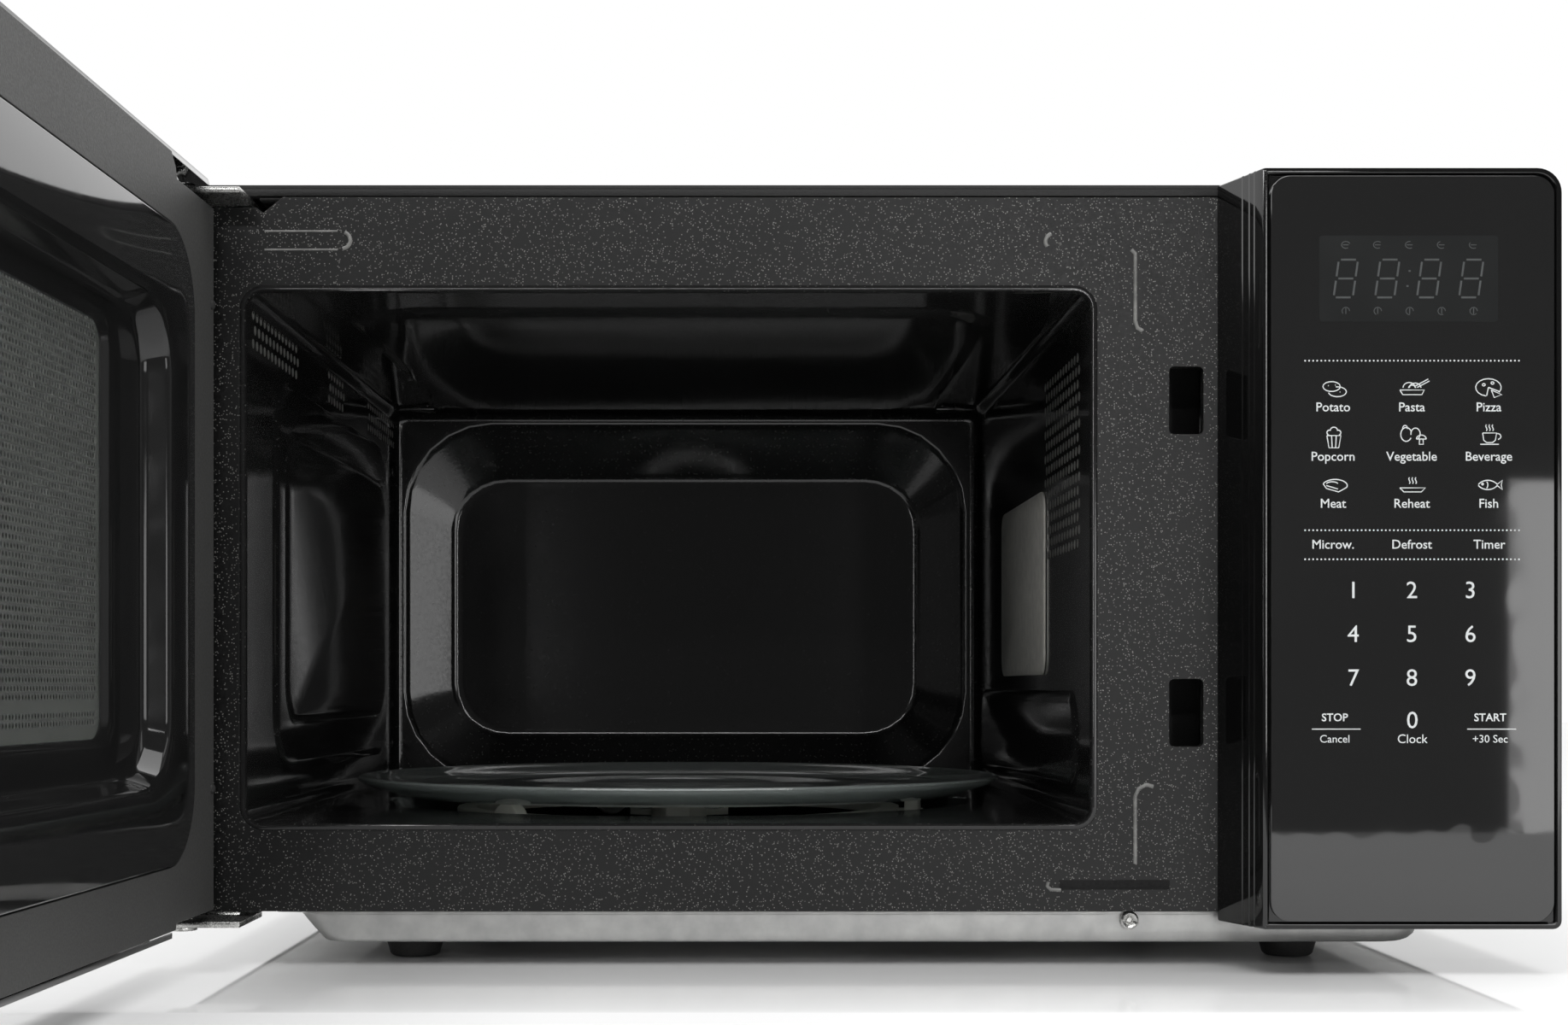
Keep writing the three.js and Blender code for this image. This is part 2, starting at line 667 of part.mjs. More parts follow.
const chokeX = [choke.left, choke.right];
const chokeZ = [choke.bottom, choke.top];
const screenDepth = -16;

// The steel inner door: a flat rim, and a tray that holds the choke cover and the screen.
function doorMetalPanel() {
  const tray = rounded(grown(chokeX, sheet + gap), grown(chokeZ, sheet + gap), choke.corner);
  const rim = alongY(rounded([door.left + 0.5, door.right - 0.5], [18.4, 275.8], 2),
    [door.back - sheet, door.back]);
  const hooks = latchSlot.bottoms.map((z) => block([111, 124.5], [-5, 0], [z - 3, z + 27]));
  return cut(
    join(rim, alongY(tray, [screenDepth - sheet, door.back])),
    alongY(rounded(grown(chokeX, gap), grown(chokeZ, gap), choke.corner), [screenDepth, 0]),
    ...hooks,
    ...doorNotches,
  );
}

// The moulded ring over the choke, with a stepped recess down to the screen.
function chokeCover() {
  const back = screenDepth + 1.1;
  const bevel = { depth: 1, bevelSize: 6, bevelThickness: 11, bevelSegments: 1, curveSegments: 5 };
  const recessCut = new THREE.ExtrudeGeometry(rounded([-187, 73.5], [70, 222], 22), bevel);
  const shallow = solid(recessCut.rotateX(Math.PI / 2).translate(0, choke.face + 1, 0));
  return cut(
    alongY(rounded(chokeX, chokeZ, choke.corner), [back, choke.face]),
    shallow,
    alongY(rounded([screen.left, screen.right], [screen.bottom, screen.top], screen.corner),
      [back - 1, 0]),
    cut(
      alongY(rounded(grown(chokeX, -2), grown(chokeZ, -2), choke.corner - 2), [back - 1, -3.6]),
      alongY(rounded([-196, 82.5], [61, 231], 26), [back - 2, 0]),
    ),
  );
}

// A bar with two hooks that slides up and down in the door's free edge.
function latchHooks() {
  const bar = block([113.5, 121.5], [-17, -8], [74, 222]);
  const arms = latchSlot.bottoms.flatMap((z) => [
    block([115, 120.5], [-9, 13], [z + 1.8, z + 10]),
    block([115, 120.5], [8, 13], [z + 9, z + 15.5]), // the hook's nose
  ]);
  return join(bar, ...arms);
}

function latchSpring() {
  const turns = 5;
  const [low, high] = [223, 246];
  const stations = Array.from({ length: turns * 10 + 1 }, (_, i) => {
    const share = i / (turns * 10);
    const angle = share * turns * 2 * Math.PI;
    return new THREE.Vector3(117.5 + 3.5 * Math.cos(angle), -12.5 + 3.5 * Math.sin(angle),
      low + share * (high - low));
  });
  const wire = new THREE.Shape().absarc(0, 0, 0.6, 0, 2 * Math.PI);
  return solid(new THREE.ExtrudeGeometry(wire, {
    extrudePath: new THREE.CatmullRomCurve3(stations),
    steps: turns * 9,
    curveSegments: 3,
  }));
}

add("door_outer_frame", doorOuterFrame(), "glossBlack", doorLeaf);
add("door_glass", doorGlassPane(), "glossBlack", doorLeaf);
add("door_metal_panel", doorMetalPanel(), "doorPaint", doorLeaf);
add("door_choke_cover", chokeCover(), "glossBlack", doorLeaf);
add("door_inner_film", alongY(rounded([screen.left - 12, screen.right + 12],
  [screen.bottom - 10, screen.top + 10], 10), [screenDepth + gap, screenDepth + 0.8]), "glass", doorLeaf);
add("latch_hooks", latchHooks(), "mattBlack", doorLeaf);
add("latch_spring", latchSpring(), "steel", doorLeaf);

// The origin is under the middle of the whole object, on the surface that it stands on.
oven.updateMatrixWorld(true);
const extent = new THREE.Box3().setFromObject(oven, true);
const middle = extent.getCenter(new THREE.Vector3());
oven.position.set(-middle.x, -middle.y, -extent.min.z);

export default oven;
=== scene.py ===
import json
import math

import bmesh
import bpy
from mathutils import Matrix, Vector


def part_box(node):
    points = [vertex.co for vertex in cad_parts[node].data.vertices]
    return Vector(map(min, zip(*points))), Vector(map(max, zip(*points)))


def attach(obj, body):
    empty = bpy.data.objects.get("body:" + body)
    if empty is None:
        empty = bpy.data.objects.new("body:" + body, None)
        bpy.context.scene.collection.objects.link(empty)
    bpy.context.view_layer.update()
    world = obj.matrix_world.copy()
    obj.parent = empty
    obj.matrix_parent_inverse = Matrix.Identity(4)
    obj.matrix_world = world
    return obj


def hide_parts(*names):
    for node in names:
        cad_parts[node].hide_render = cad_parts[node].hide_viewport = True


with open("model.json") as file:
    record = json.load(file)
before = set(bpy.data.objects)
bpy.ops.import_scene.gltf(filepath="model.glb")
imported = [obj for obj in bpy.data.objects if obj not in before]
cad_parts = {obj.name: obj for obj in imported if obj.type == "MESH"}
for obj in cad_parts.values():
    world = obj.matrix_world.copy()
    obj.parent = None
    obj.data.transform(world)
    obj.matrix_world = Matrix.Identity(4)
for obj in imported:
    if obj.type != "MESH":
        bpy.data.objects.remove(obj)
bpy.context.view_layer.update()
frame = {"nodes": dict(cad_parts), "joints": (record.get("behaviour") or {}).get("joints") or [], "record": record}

# Everything is drawn in millimetres, with the door shut and the front frame's face on y = 0, and is then put
# in place.
frontLow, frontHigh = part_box("front_frame")
ovenOrigin = Vector(((frontLow.x + frontHigh.x) / 2, frontLow.y, 0))
joints = {joint["name"]: joint for joint in frame["joints"]}
hingePoint = Vector(joints["door_hinge"]["pos_m"])
doorOpening = math.radians(joints["door_hinge"]["range_deg"][1])  # the door closes by this much
toOven = Matrix.Translation(ovenOrigin) @ Matrix.Scale(0.001, 4)
toDoor = (Matrix.Translation(hingePoint) @ Matrix.Rotation(-doorOpening, 4, "Z")
          @ Matrix.Translation(-hingePoint) @ toOven)

cavity = {"x": (-217.6, 83.6), "z": (50.4, 240), "depth": 340, "corner": 6}
turntable = {"x": -67, "y": 170, "recessFloor": 37.5, "recessRadius": 118, "recessTop": 126}
latchSlots = {"x": (111.9, 123.8), "bottoms": (77.9, 189.4), "height": 24}


# Small tools.

def hexColour(code, alpha=1):
    values = [int(code[i:i + 2], 16) / 255 for i in (1, 3, 5)]
    return [v / 12.92 if v <= 0.04045 else ((v + 0.055) / 1.055) ** 2.4 for v in values] + [alpha]


def addNode(tree, kind, settings=None, links=None):
    node = tree.nodes.new(kind)
    for key, value in (settings or {}).items():
        if key == "stops":
            ramp = node.color_ramp.elements
            while len(ramp) < len(value):
                ramp.new(0.5)
            for element, (position, colour) in zip(ramp, value):
                element.position = position
                element.color = colour
        elif isinstance(key, int) or key in node.inputs:
            node.inputs[key].default_value = value
        else:
            setattr(node, key, value)
    for socket, source in (links or {}).items():
        tree.links.new(source, node.inputs[socket])
    return node


def meshObject(name, vertices, faces):
    mesh = bpy.data.meshes.new(name)
    mesh.from_pydata([tuple(v) for v in vertices], [], faces)
    made = bpy.data.objects.new(name, mesh)
    bpy.context.scene.collection.objects.link(made)
    return made


# Modifiers and curves become a plain mesh.
def applied(made):
    bpy.context.view_layer.update()
    evaluated = made.evaluated_get(bpy.context.evaluated_depsgraph_get())
    mesh = bpy.data.meshes.new_from_object(evaluated)
    plain = bpy.data.objects.new(made.name + "_mesh", mesh)
    bpy.context.scene.collection.objects.link(plain)
    name = made.name
    bpy.data.objects.remove(made)
    plain.name = name
    return plain


# A rectangle with round corners in the x-z plane at depth y, seen from the front.
def roundedLoop(x, z, radius, y, steps=6):
    points = []
    centres = [(x[1] - radius, z[0] + radius), (x[1] - radius, z[1] - radius),
               (x[0] + radius, z[1] - radius), (x[0] + radius, z[0] + radius)]
    for turn, (cx, cz) in enumerate(centres):
        for i in range(steps + 1):
            angle = math.pi / 2 * (turn - 1 + i / steps)
            points.append(Vector((cx + radius * math.cos(angle), y, cz + radius * math.sin(angle))))
    return points


def circleLoop(centre, radius, z, steps=64):
    return [Vector((centre[0] + radius * math.cos(2 * math.pi * i / steps),
                    centre[1] + radius * math.sin(2 * math.pi * i / steps), z)) for i in range(steps)]


def arc(cx, cz, rx, rz, start=0, end=360, steps=14):
    return [(cx + rx * math.cos(math.radians(start + (end - start) * i / steps)),
             cz + rz * math.sin(math.radians(start + (end - start) * i / steps))) for i in range(steps + 1)]


# Walls between loops that all have the same number of points.
def loft(name, loops, capFirst=False, capLast=False):
    count = len(loops[0])
    vertices = [point for loop in loops for point in loop]
    faces = []
    for k in range(len(loops) - 1):
        for i in range(count):
            j = (i + 1) % count
            faces.append((k * count + i, k * count + j, (k + 1) * count + j, (k + 1) * count + i))
    if capFirst:
        faces.append(tuple(reversed(range(count))))
    if capLast:
        faces.append(tuple(range((len(loops) - 1) * count, len(loops) * count)))
    return meshObject(name, vertices, faces)


# A plate drawn as a flat filled curve: the first outline is its edge and the others are holes.
def flatPlate(name, outlines, thickness, bevel=0.0, matrix=None):
    curve = bpy.data.curves.new(name, "CURVE")
    curve.dimensions = "2D"
    curve.fill_mode = "BOTH"
    curve.extrude = max(thickness / 2 - bevel, 0)
    curve.bevel_depth = bevel
    curve.bevel_resolution = 1
    curve.offset = -bevel
    for outline in outlines:
        spline = curve.splines.new("POLY")
        spline.points.add(len(outline) - 1)
        for point, (u, v) in zip(spline.points, outline):
            point.co = (u, v, 0, 1)
        spline.use_cyclic_u = True
    made = bpy.data.objects.new(name, curve)
    bpy.context.scene.collection.objects.link(made)
    plain = applied(made)
    if matrix:
        plain.data.transform(matrix)
    return plain


# Flat drawings (u, v, thickness) laid into the oven, to be seen from the front, left, right or top.
def upright(y):
    return Matrix(((1, 0, 0, 0), (0, 0, -1, y), (0, 1, 0, 0), (0, 0, 0, 1)))


def facingRight(x):
    return Matrix(((0, 0, 1, x), (1, 0, 0, 0), (0, 1, 0, 0), (0, 0, 0, 1)))


def facingLeft(x):
    return Matrix(((0, 0, -1, x), (-1, 0, 0, 0), (0, 1, 0, 0), (0, 0, 0, 1)))


def facingUp(z):
    return Matrix.Translation((0, 0, z))


def roundedOutline(x, z, radius, steps=5):
    return [(p.x, p.z) for p in roundedLoop(x, z, radius, 0, steps)]


def slotOutline(u, v, length, width, steps=4):
    half = length / 2 - width / 2
    return roundedOutline((u - half - width / 2, u + half + width / 2),
                          (v - width / 2, v + width / 2), width / 2 - 0.01, steps)


# Several meshes made one.
def joined(name, parts):
    whole = bmesh.new()
    for part in parts:
        whole.from_mesh(part.data)
        bpy.data.objects.remove(part)
    made = meshObject(name, [], [])
    whole.to_mesh(made.data)
    whole.free()
    return made


def tidyNormals(made, merge=0.01):
    work = bmesh.new()
    work.from_mesh(made.data)
    bmesh.ops.remove_doubles(work, verts=work.verts, dist=merge)
    bmesh.ops.recalc_face_normals(work, faces=work.faces)
    work.to_mesh(made.data)
    work.free()
    return made


def bevelled(made, width, segments=2, angle=32):
    bevel = made.modifiers.new("bevel", "BEVEL")
    bevel.width = width
    bevel.segments = segments
    bevel.limit_method = "ANGLE"
    bevel.angle_limit = math.radians(angle)
    bevel.use_clamp_overlap = True
    return applied(made)


def box(name, x, y, z, bevel=0.5):
    corners = [Vector((a, b, c)) for c in z for b in y for a in x]
    faces = [(0, 2, 3, 1), (4, 5, 7, 6), (0, 1, 5, 4), (2, 6, 7, 3), (0, 4, 6, 2), (1, 3, 7, 5)]
    return bevelled(meshObject(name, corners, faces), bevel)


# A closed profile of (radius, height) points turned about an upright or a lying axis.
def turnedShape(name, profile, centre, steps=64, axis="Z"):
    made = loft(name, [circleLoop((0, 0), max(r, 0.001), h, steps) for r, h in profile])
    tidyNormals(made, 0.004)
    if axis == "Y":
        made.data.transform(Matrix.Rotation(math.radians(-90), 4, "X"))
    made.data.transform(Matrix.Translation(centre))
    return made


# Puts a finished drawing into the oven, gives it its finish and says what it rides on.
def place(made, material, body, stands=(), onDoor=False, smooth=35):
    made.data.transform(toDoor if onDoor else toOven)
    made.data.materials.clear()
    made.data.materials.append(material)
    for polygon in made.data.polygons:
        polygon.material_index = 0
        polygon.use_smooth = True
    made.data.set_sharp_from_angle(angle=math.radians(smooth))
    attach(made, body)
    if stands:
        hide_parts(*stands)
    return made


# A CAD node's own shape with its flat triangles merged and its edges broken.
def softened(node, material, width=0.4, segments=2):
    source = frame["nodes"][node]
    made = meshObject(node + "_finished", [], [])
    work = bmesh.new()
    work.from_mesh(source.data)
    bmesh.ops.remove_doubles(work, verts=work.verts, dist=1e-6)
    bmesh.ops.dissolve_limit(work, angle_limit=math.radians(1), verts=work.verts, edges=work.edges)
    work.to_mesh(made.data)
    work.free()
    if width:
        made = bevelled(made, width / 1000, segments)
    made.data.transform(toOven.inverted())
    return place(made, material, bodyOf(node), (node,))


def bodyOf(node):
    for body, members in frame["record"]["behaviour"]["bodies"].items():
        if node in members:
            return body


# Geometry nodes: one tree lays a cell on a grid, the other lays it on listed points.

def gridTree():
    tree = bpy.data.node_groups.new("cells on a grid", "GeometryNodeTree")
    face = tree.interface
    face.new_socket("Geometry", in_out="OUTPUT", socket_type="NodeSocketGeometry")
    for label, kind in (("Cell", "Object"), ("Columns", "Int"), ("Rows", "Int"), ("Pitch across", "Float"),
                        ("Pitch up", "Float"), ("Stagger", "Float"), ("Material", "Material")):
        face.new_socket(label, in_out="INPUT", socket_type="NodeSocket" + kind)
    inputs = tree.nodes.new("NodeGroupInput").outputs

    def span(pitch, count):
        less = addNode(tree, "ShaderNodeMath", {"operation": "SUBTRACT", 1: 1.0}, {0: inputs[count]})
        return addNode(tree, "ShaderNodeMath", {"operation": "MULTIPLY"},
                       {0: less.outputs[0], 1: inputs[pitch]})

    grid = addNode(tree, "GeometryNodeMeshGrid", None, {
        "Size X": span("Pitch across", "Columns").outputs[0], "Size Y": span("Pitch up", "Rows").outputs[0],
        "Vertices X": inputs["Columns"], "Vertices Y": inputs["Rows"]})
    # every second row is moved sideways by the stagger
    index = tree.nodes.new("GeometryNodeInputIndex")
    row = addNode(tree, "ShaderNodeMath", {"operation": "MODULO"},
                  {0: index.outputs[0], 1: inputs["Rows"]})
    odd = addNode(tree, "ShaderNodeMath", {"operation": "MODULO", 1: 2.0}, {0: row.outputs[0]})
    shift = addNode(tree, "ShaderNodeMath", {"operation": "MULTIPLY"},
                    {0: odd.outputs[0], 1: inputs["Stagger"]})
    offset = addNode(tree, "ShaderNodeCombineXYZ", None, {"X": shift.outputs[0]})
    moved = addNode(tree, "GeometryNodeSetPosition", None,
                    {"Geometry": grid.outputs["Mesh"], "Offset": offset.outputs[0]})
    cell = addNode(tree, "GeometryNodeObjectInfo", None, {"Object": inputs["Cell"]})
    laid = addNode(tree, "GeometryNodeInstanceOnPoints", None,
                   {"Points": moved.outputs[0], "Instance": cell.outputs["Geometry"]})
    real = addNode(tree, "GeometryNodeRealizeInstances", None, {"Geometry": laid.outputs[0]})
    merged = addNode(tree, "GeometryNodeMergeByDistance", {"Distance": 0.002},
                     {"Geometry": real.outputs[0]})
    coloured = addNode(tree, "GeometryNodeSetMaterial", None,
                       {"Geometry": merged.outputs[0], "Material": inputs["Material"]})
    out = tree.nodes.new("NodeGroupOutput")
    tree.links.new(coloured.outputs[0], out.inputs[0])
    return tree


def pointsTree():
    tree = bpy.data.node_groups.new("cells on points", "GeometryNodeTree")
    face = tree.interface
    face.new_socket("Geometry", in_out="INPUT", socket_type="NodeSocketGeometry")
    face.new_socket("Geometry", in_out="OUTPUT", socket_type="NodeSocketGeometry")
    for label, kind in (("Cell", "Object"), ("Material", "Material")):
        face.new_socket(label, in_out="INPUT", socket_type="NodeSocket" + kind)
    inputs = tree.nodes.new("NodeGroupInput").outputs
    cell = addNode(tree, "GeometryNodeObjectInfo", None, {"Object": inputs["Cell"]})
    laid = addNode(tree, "GeometryNodeInstanceOnPoints", None,
                   {"Points": inputs["Geometry"], "Instance": cell.outputs["Geometry"]})
    real = addNode(tree, "GeometryNodeRealizeInstances", None, {"Geometry": laid.outputs[0]})
    coloured = addNode(tree, "GeometryNodeSetMaterial", None,
                       {"Geometry": real.outputs[0], "Material": inputs["Material"]})
    out = tree.nodes.new("NodeGroupOutput")
    tree.links.new(coloured.outputs[0], out.inputs[0])
    return tree


gridOfCells = gridTree()
cellsOnPoints = pointsTree()


def runTree(name, base, tree, values):
    modifier = base.modifiers.new("pattern", "NODES")
    modifier.node_group = tree
    for item in tree.interface.items_tree:
        if item.item_type == "SOCKET" and item.in_out == "INPUT" and item.name in values:
            modifier[item.identifier] = values[item.name]
    made = applied(base)
    made.name = name
    return made


def onGrid(name, cell, columns, rows, pitch, material, centre=(0, 0), stagger=0.0, matrix=None):
    made = runTree(name, meshObject(name, [(0, 0, 0)], []), gridOfCells, {
        "Cell": cell, "Columns": columns, "Rows": rows, "Pitch across": float(pitch[0]),
        "Pitch up": float(pitch[1]), "Stagger": float(stagger), "Material": material})
    made.data.transform(Matrix.Translation((centre[0], centre[1], 0)))
    if matrix:
        made.data.transform(matrix)
    return made


def onPoints(name, cell, points, material):
    return runTree(name, meshObject(name, points, []), cellsOnPoints, {"Cell": cell, "Material": material})


def removed(*cells):
    for cell in cells:
        bpy.data.objects.remove(cell)


# Finishes.

# A painted, plated or moulded surface: two close colours in soft patches, a fine grain in gloss and height.
def finish(name, look):
    material = bpy.data.materials.new(name)
    material.use_nodes = True
    tree = material.node_tree
    shader = tree.nodes["Principled BSDF"]
    shader.inputs["Metallic"].default_value = look.get("metallic", 0.0)
    shader.inputs["Coat Weight"].default_value = look.get("coat", 0.0)
    shader.inputs["Coat Roughness"].default_value = look.get("coatRoughness", 0.05)
    shader.inputs["Specular IOR Level"].default_value = look.get("specular", 0.5)
    if not look.get("metallic"):
        shader.inputs["IOR"].default_value = look.get("ior", 1.5)
    place3d = addNode(tree, "ShaderNodeTexCoord")
    stretched = addNode(tree, "ShaderNodeMapping", {"Scale": look.get("stretch", (1, 1, 1))},
                        {"Vector": place3d.outputs["Object"]})
    patches = addNode(tree, "ShaderNodeTexNoise", {"Scale": 1000 / look.get("patch", 40), "Detail": 3},
                      {"Vector": place3d.outputs["Object"]})
    grain = addNode(tree, "ShaderNodeTexNoise", {"Scale": 1000 / look["grain"], "Detail": 2},
                    {"Vector": stretched.outputs[0]})
    colours = addNode(tree, "ShaderNodeValToRGB", {"stops": [
        (0.35, hexColour(look["colour"])), (0.68, hexColour(look.get("second", look["colour"])))]},
        {"Fac": patches.outputs[0]})
    colour = colours.outputs[0]
    if "speck" in look:
        dots = addNode(tree, "ShaderNodeTexVoronoi", {"Scale": 1000 / look["speckPitch"]},
                       {"Vector": place3d.outputs["Object"]})
        spread = addNode(tree, "ShaderNodeValToRGB", {"stops": [
            (0.0, (1, 1, 1, 1)), (look["speckSize"], (0, 0, 0, 1))]}, {"Fac": dots.outputs["Distance"]})
        chosen = addNode(tree, "ShaderNodeMath", {"operation": "LESS_THAN", 1: look["speckShare"]},
                         {0: dots.outputs["Color"]})
        amount = addNode(tree, "ShaderNodeMath", {"operation": "MULTIPLY"},
                         {0: spread.outputs[0], 1: chosen.outputs[0]})
        colour = addNode(tree, "ShaderNodeMix", {"data_type": "RGBA", 7: hexColour(look["speck"])},
                         {0: amount.outputs[0], 6: colour}).outputs[2]
    tree.links.new(colour, shader.inputs["Base Color"])
    low, high = look["rough"]
    gloss = addNode(tree, "ShaderNodeMapRange", {"To Min": low, "To Max": high, "From Min": 0.3,
                                                 "From Max": 0.7}, {"Value": grain.outputs[0]})
    tree.links.new(gloss.outputs[0], shader.inputs["Roughness"])
    bump = addNode(tree, "ShaderNodeBump",
                   {"Strength": look.get("bump", 0.1), "Distance": look.get("height", 0.0002)},
                   {"Height": grain.outputs[0]})
    tree.links.new(bump.outputs[0], shader.inputs["Normal"])
    return material


# Glass, film or smoked lens: light passes, with faint smears in the gloss.
def clearFinish(name, look):
    material = bpy.data.materials.new(name)
    material.use_nodes = True
    tree = material.node_tree
    shader = tree.nodes["Principled BSDF"]
    shader.inputs["Base Color"].default_value = hexColour(look["colour"])
    shader.inputs["Transmission Weight"].default_value = look["through"]
    shader.inputs["IOR"].default_value = look.get("ior", 1.5)
    place3d = addNode(tree, "ShaderNodeTexCoord")
    smears = addNode(tree, "ShaderNodeTexNoise", {"Scale": 1000 / look.get("patch", 30), "Detail": 4},
                     {"Vector": place3d.outputs["Object"]})
    low, high = look["rough"]
    gloss = addNode(tree, "ShaderNodeMapRange", {"To Min": low, "To Max": high},
                    {"Value": smears.outputs[0]})
    tree.links.new(gloss.outputs[0], shader.inputs["Roughness"])
    return material


# Vitreous enamel on the pressed front frame: near black with a dense fine pale speckle and a soft sheen.
speckledEnamel = finish("speckled enamel on steel", {
    "colour": "#0a0a0a", "second": "#0e0e0e", "patch": 60, "grain": 1.1, "rough": (0.3, 0.42), "bump": 0.15,
    "specular": 0.35, "speck": "#a2a29e", "speckPitch": 0.66, "speckSize": 0.42, "speckShare": 0.28})
# The same enamel inside the cavity, fired glossier: black, and every fillet draws a thin bright line.
cavityEnamel = finish("glossy black enamel", {
    "colour": "#191919", "second": "#1d1d1d", "patch": 60, "grain": 1.6, "rough": (0.07, 0.12), "bump": 0.05,
    "speck": "#565654", "speckPitch": 1.1, "speckSize": 0.36, "speckShare": 0.3})
# Powder coat on the folded cover: dull black with an orange-peel grain of about half a millimetre.
powderCoat = finish("black powder coat", {
    "colour": "#191919", "second": "#1f1f1f", "patch": 90, "grain": 0.7, "rough": (0.45, 0.6), "bump": 0.5})
# Hot-dip galvanised sheet: pale grey, cloudy zinc patches of 10 to 15 mm.
galvanisedSteel = finish("galvanised sheet steel", {
    "colour": "#b2b2b1", "second": "#c3c3c1", "patch": 9, "grain": 1.5, "rough": (0.36, 0.48),
    "metallic": 0.7, "bump": 0.08})
# Bright zinc plate on stamped brackets, pins and screws: clean reflections, faint drawing marks.
zincPlate = finish("bright zinc plate", {
    "colour": "#c2c2c0", "second": "#d8d8d5", "patch": 8, "grain": 0.8, "rough": (0.2, 0.34),
    "metallic": 1.0, "bump": 0.08})
# Sprayed paint on the steel door panel: flat dark grey that scatters light evenly.
doorPaint = finish("matt grey door paint", {
    "colour": "#3e3e3d", "second": "#434342", "patch": 70, "grain": 0.8, "rough": (0.5, 0.62), "bump": 0.3})
# Pierced oven steel in the door window, dark in itself: its mid grey colour is a painted sheen, with a satin
# shine, so that its black holes show.
screenSheenSteel = finish("blackened screen steel", {
    "colour": "#868683", "second": "#90908d", "patch": 20, "grain": 0.8, "rough": (0.3, 0.42), "bump": 0.1,
    "metallic": 0.5})
# Painted highlight on pressed beads: a paler, shinier enamel colour stands in for the bright lines that light
# draws along them.
beadHighlightPaint = finish("thin enamel on a pressed bead", {
    "colour": "#6e6e6c", "second": "#8a8a87", "patch": 6, "grain": 0.9, "rough": (0.2, 0.3), "bump": 0.1})
# Bare metal that shows where a hole was punched through enamel.
holeEdge = finish("punched enamel edge", {
    "colour": "#5c5c59", "second": "#6c6c69", "patch": 6, "grain": 0.5, "rough": (0.3, 0.45), "bump": 0.1})
# Piano-black ABS from a polished mould: deep mirror gloss with very slight moulding waves.
pianoBlack = finish("piano black ABS", {
    "colour": "#0b0b0b", "second": "#0e0e0e", "patch": 80, "grain": 30, "rough": (0.05, 0.09), "bump": 0.5,
    "ior": 1.54})
# Printed keypad sheet: mirror gloss, drawn slightly wavy by its glue, so that edges of reflections wander.
keypadFilm = finish("glossy black keypad film", {
    "colour": "#191919", "second": "#1b1b1b", "patch": 80, "grain": 42, "rough": (0.02, 0.05), "bump": 1.0,
    "height": 0.00026, "coat": 0.8, "coatRoughness": 0.03})
# Satin black polypropylene: the choke ring, moulded smooth but not polished.
satinBlack = finish("satin black polypropylene", {
    "colour": "#1b1b1b", "second": "#1e1e1e", "patch": 60, "grain": 12, "rough": (0.05, 0.1), "bump": 0.05})
# Moulded engineering plastic with a spark-eroded texture of about 0.4 mm.
texturedBlack = finish("textured black nylon", {
    "colour": "#1e1e1e", "second": "#242424", "patch": 30, "grain": 0.6, "rough": (0.5, 0.66), "bump": 0.35})
# White glass-filled resin for the rollers and coupler: warm white, slightly waxy.
whiteResin = finish("white acetal resin", {
    "colour": "#d8d6cc", "second": "#e6e4dc", "patch": 14, "grain": 1.2, "rough": (0.36, 0.5), "bump": 0.1})
# Pressed mica sheet: grey flakes a few millimetres across with a pearly shine.
micaSheet = finish("pressed mica sheet", {
    "colour": "#c6c4be", "second": "#d6d4cd", "patch": 5, "grain": 1.8, "rough": (0.35, 0.6), "bump": 0.15,
    "coat": 0.2, "coatRoughness": 0.3})
# Rubber feet: dark, dull, very slightly dusty.
footRubber = finish("moulded rubber", {
    "colour": "#232323", "second": "#2c2c2b", "patch": 10, "grain": 0.7, "rough": (0.62, 0.8), "bump": 0.25})
# Glass-fibre circuit board with green lacquer, mottled by the weave under it.
boardGreen = finish("lacquered circuit board", {
    "colour": "#1f4a2d", "second": "#2b6440", "patch": 4, "grain": 0.7, "rough": (0.3, 0.45), "bump": 0.1})
# Stacked core plates: oiled grey iron with the plates' edges as a fine line.
coreIron = finish("laminated core iron", {
    "colour": "#6a6a6a", "second": "#7d7c7a", "patch": 9, "grain": 0.6, "stretch": (1, 0.06, 0.06),
    "rough": (0.35, 0.55), "metallic": 0.9, "bump": 0.4})
# Enamelled copper wire seen as a wound body: fine turns of about 0.8 mm.
copperWire = finish("enamelled copper winding", {
    "colour": "#7a3b1b", "second": "#a4582c", "patch": 6, "grain": 0.8, "stretch": (0.08, 0.08, 1),
    "rough": (0.28, 0.45), "metallic": 0.7, "bump": 0.6})
# Drawn aluminium: soft silver with faint draw lines.
drawnAluminium = finish("drawn aluminium", {
    "colour": "#b4b6b8", "second": "#c6c8ca", "patch": 16, "grain": 0.8, "stretch": (1, 0.1, 1),
    "rough": (0.28, 0.42), "metallic": 1.0, "bump": 0.12})
# Screen-printed ink on the keypad and door glass.
paleInk = finish("pale grey screen ink", {
    "colour": "#d8dbdb", "second": "#e2e5e5", "patch": 3, "grain": 0.3, "rough": (0.5, 0.6), "bump": 0.02})
# Segments of the display with the power off: a little paler than the lens over them.
dimInk = finish("unlit display segment", {
    "colour": "#474a4a", "second": "#505353", "patch": 3, "grain": 0.3, "rough": (0.5, 0.6), "bump": 0.02})
# Ceramic ink fired onto the back of the door glass: flat black.
blackInk = finish("black ceramic ink", {
    "colour": "#080808", "second": "#0b0b0b", "patch": 20, "grain": 0.5, "rough": (0.4, 0.5), "bump": 0.02})
# Painted shade: a dull, almost black finish on a low bead stands in for the shadow inside a pressed slot.
deepShadow = finish("dull enamel in a deep slot", {
    "colour": "#030303", "second": "#050505", "patch": 20, "grain": 1, "rough": (0.8, 0.9), "bump": 0.0})
# Tempered soda-lime glass of the turntable plate: faintly green, with a milky veil of wear.
clearGlass = clearFinish("clear tempered glass", {
    "colour": "#dfe8e5", "through": 0.75, "rough": (0.03, 0.08)})
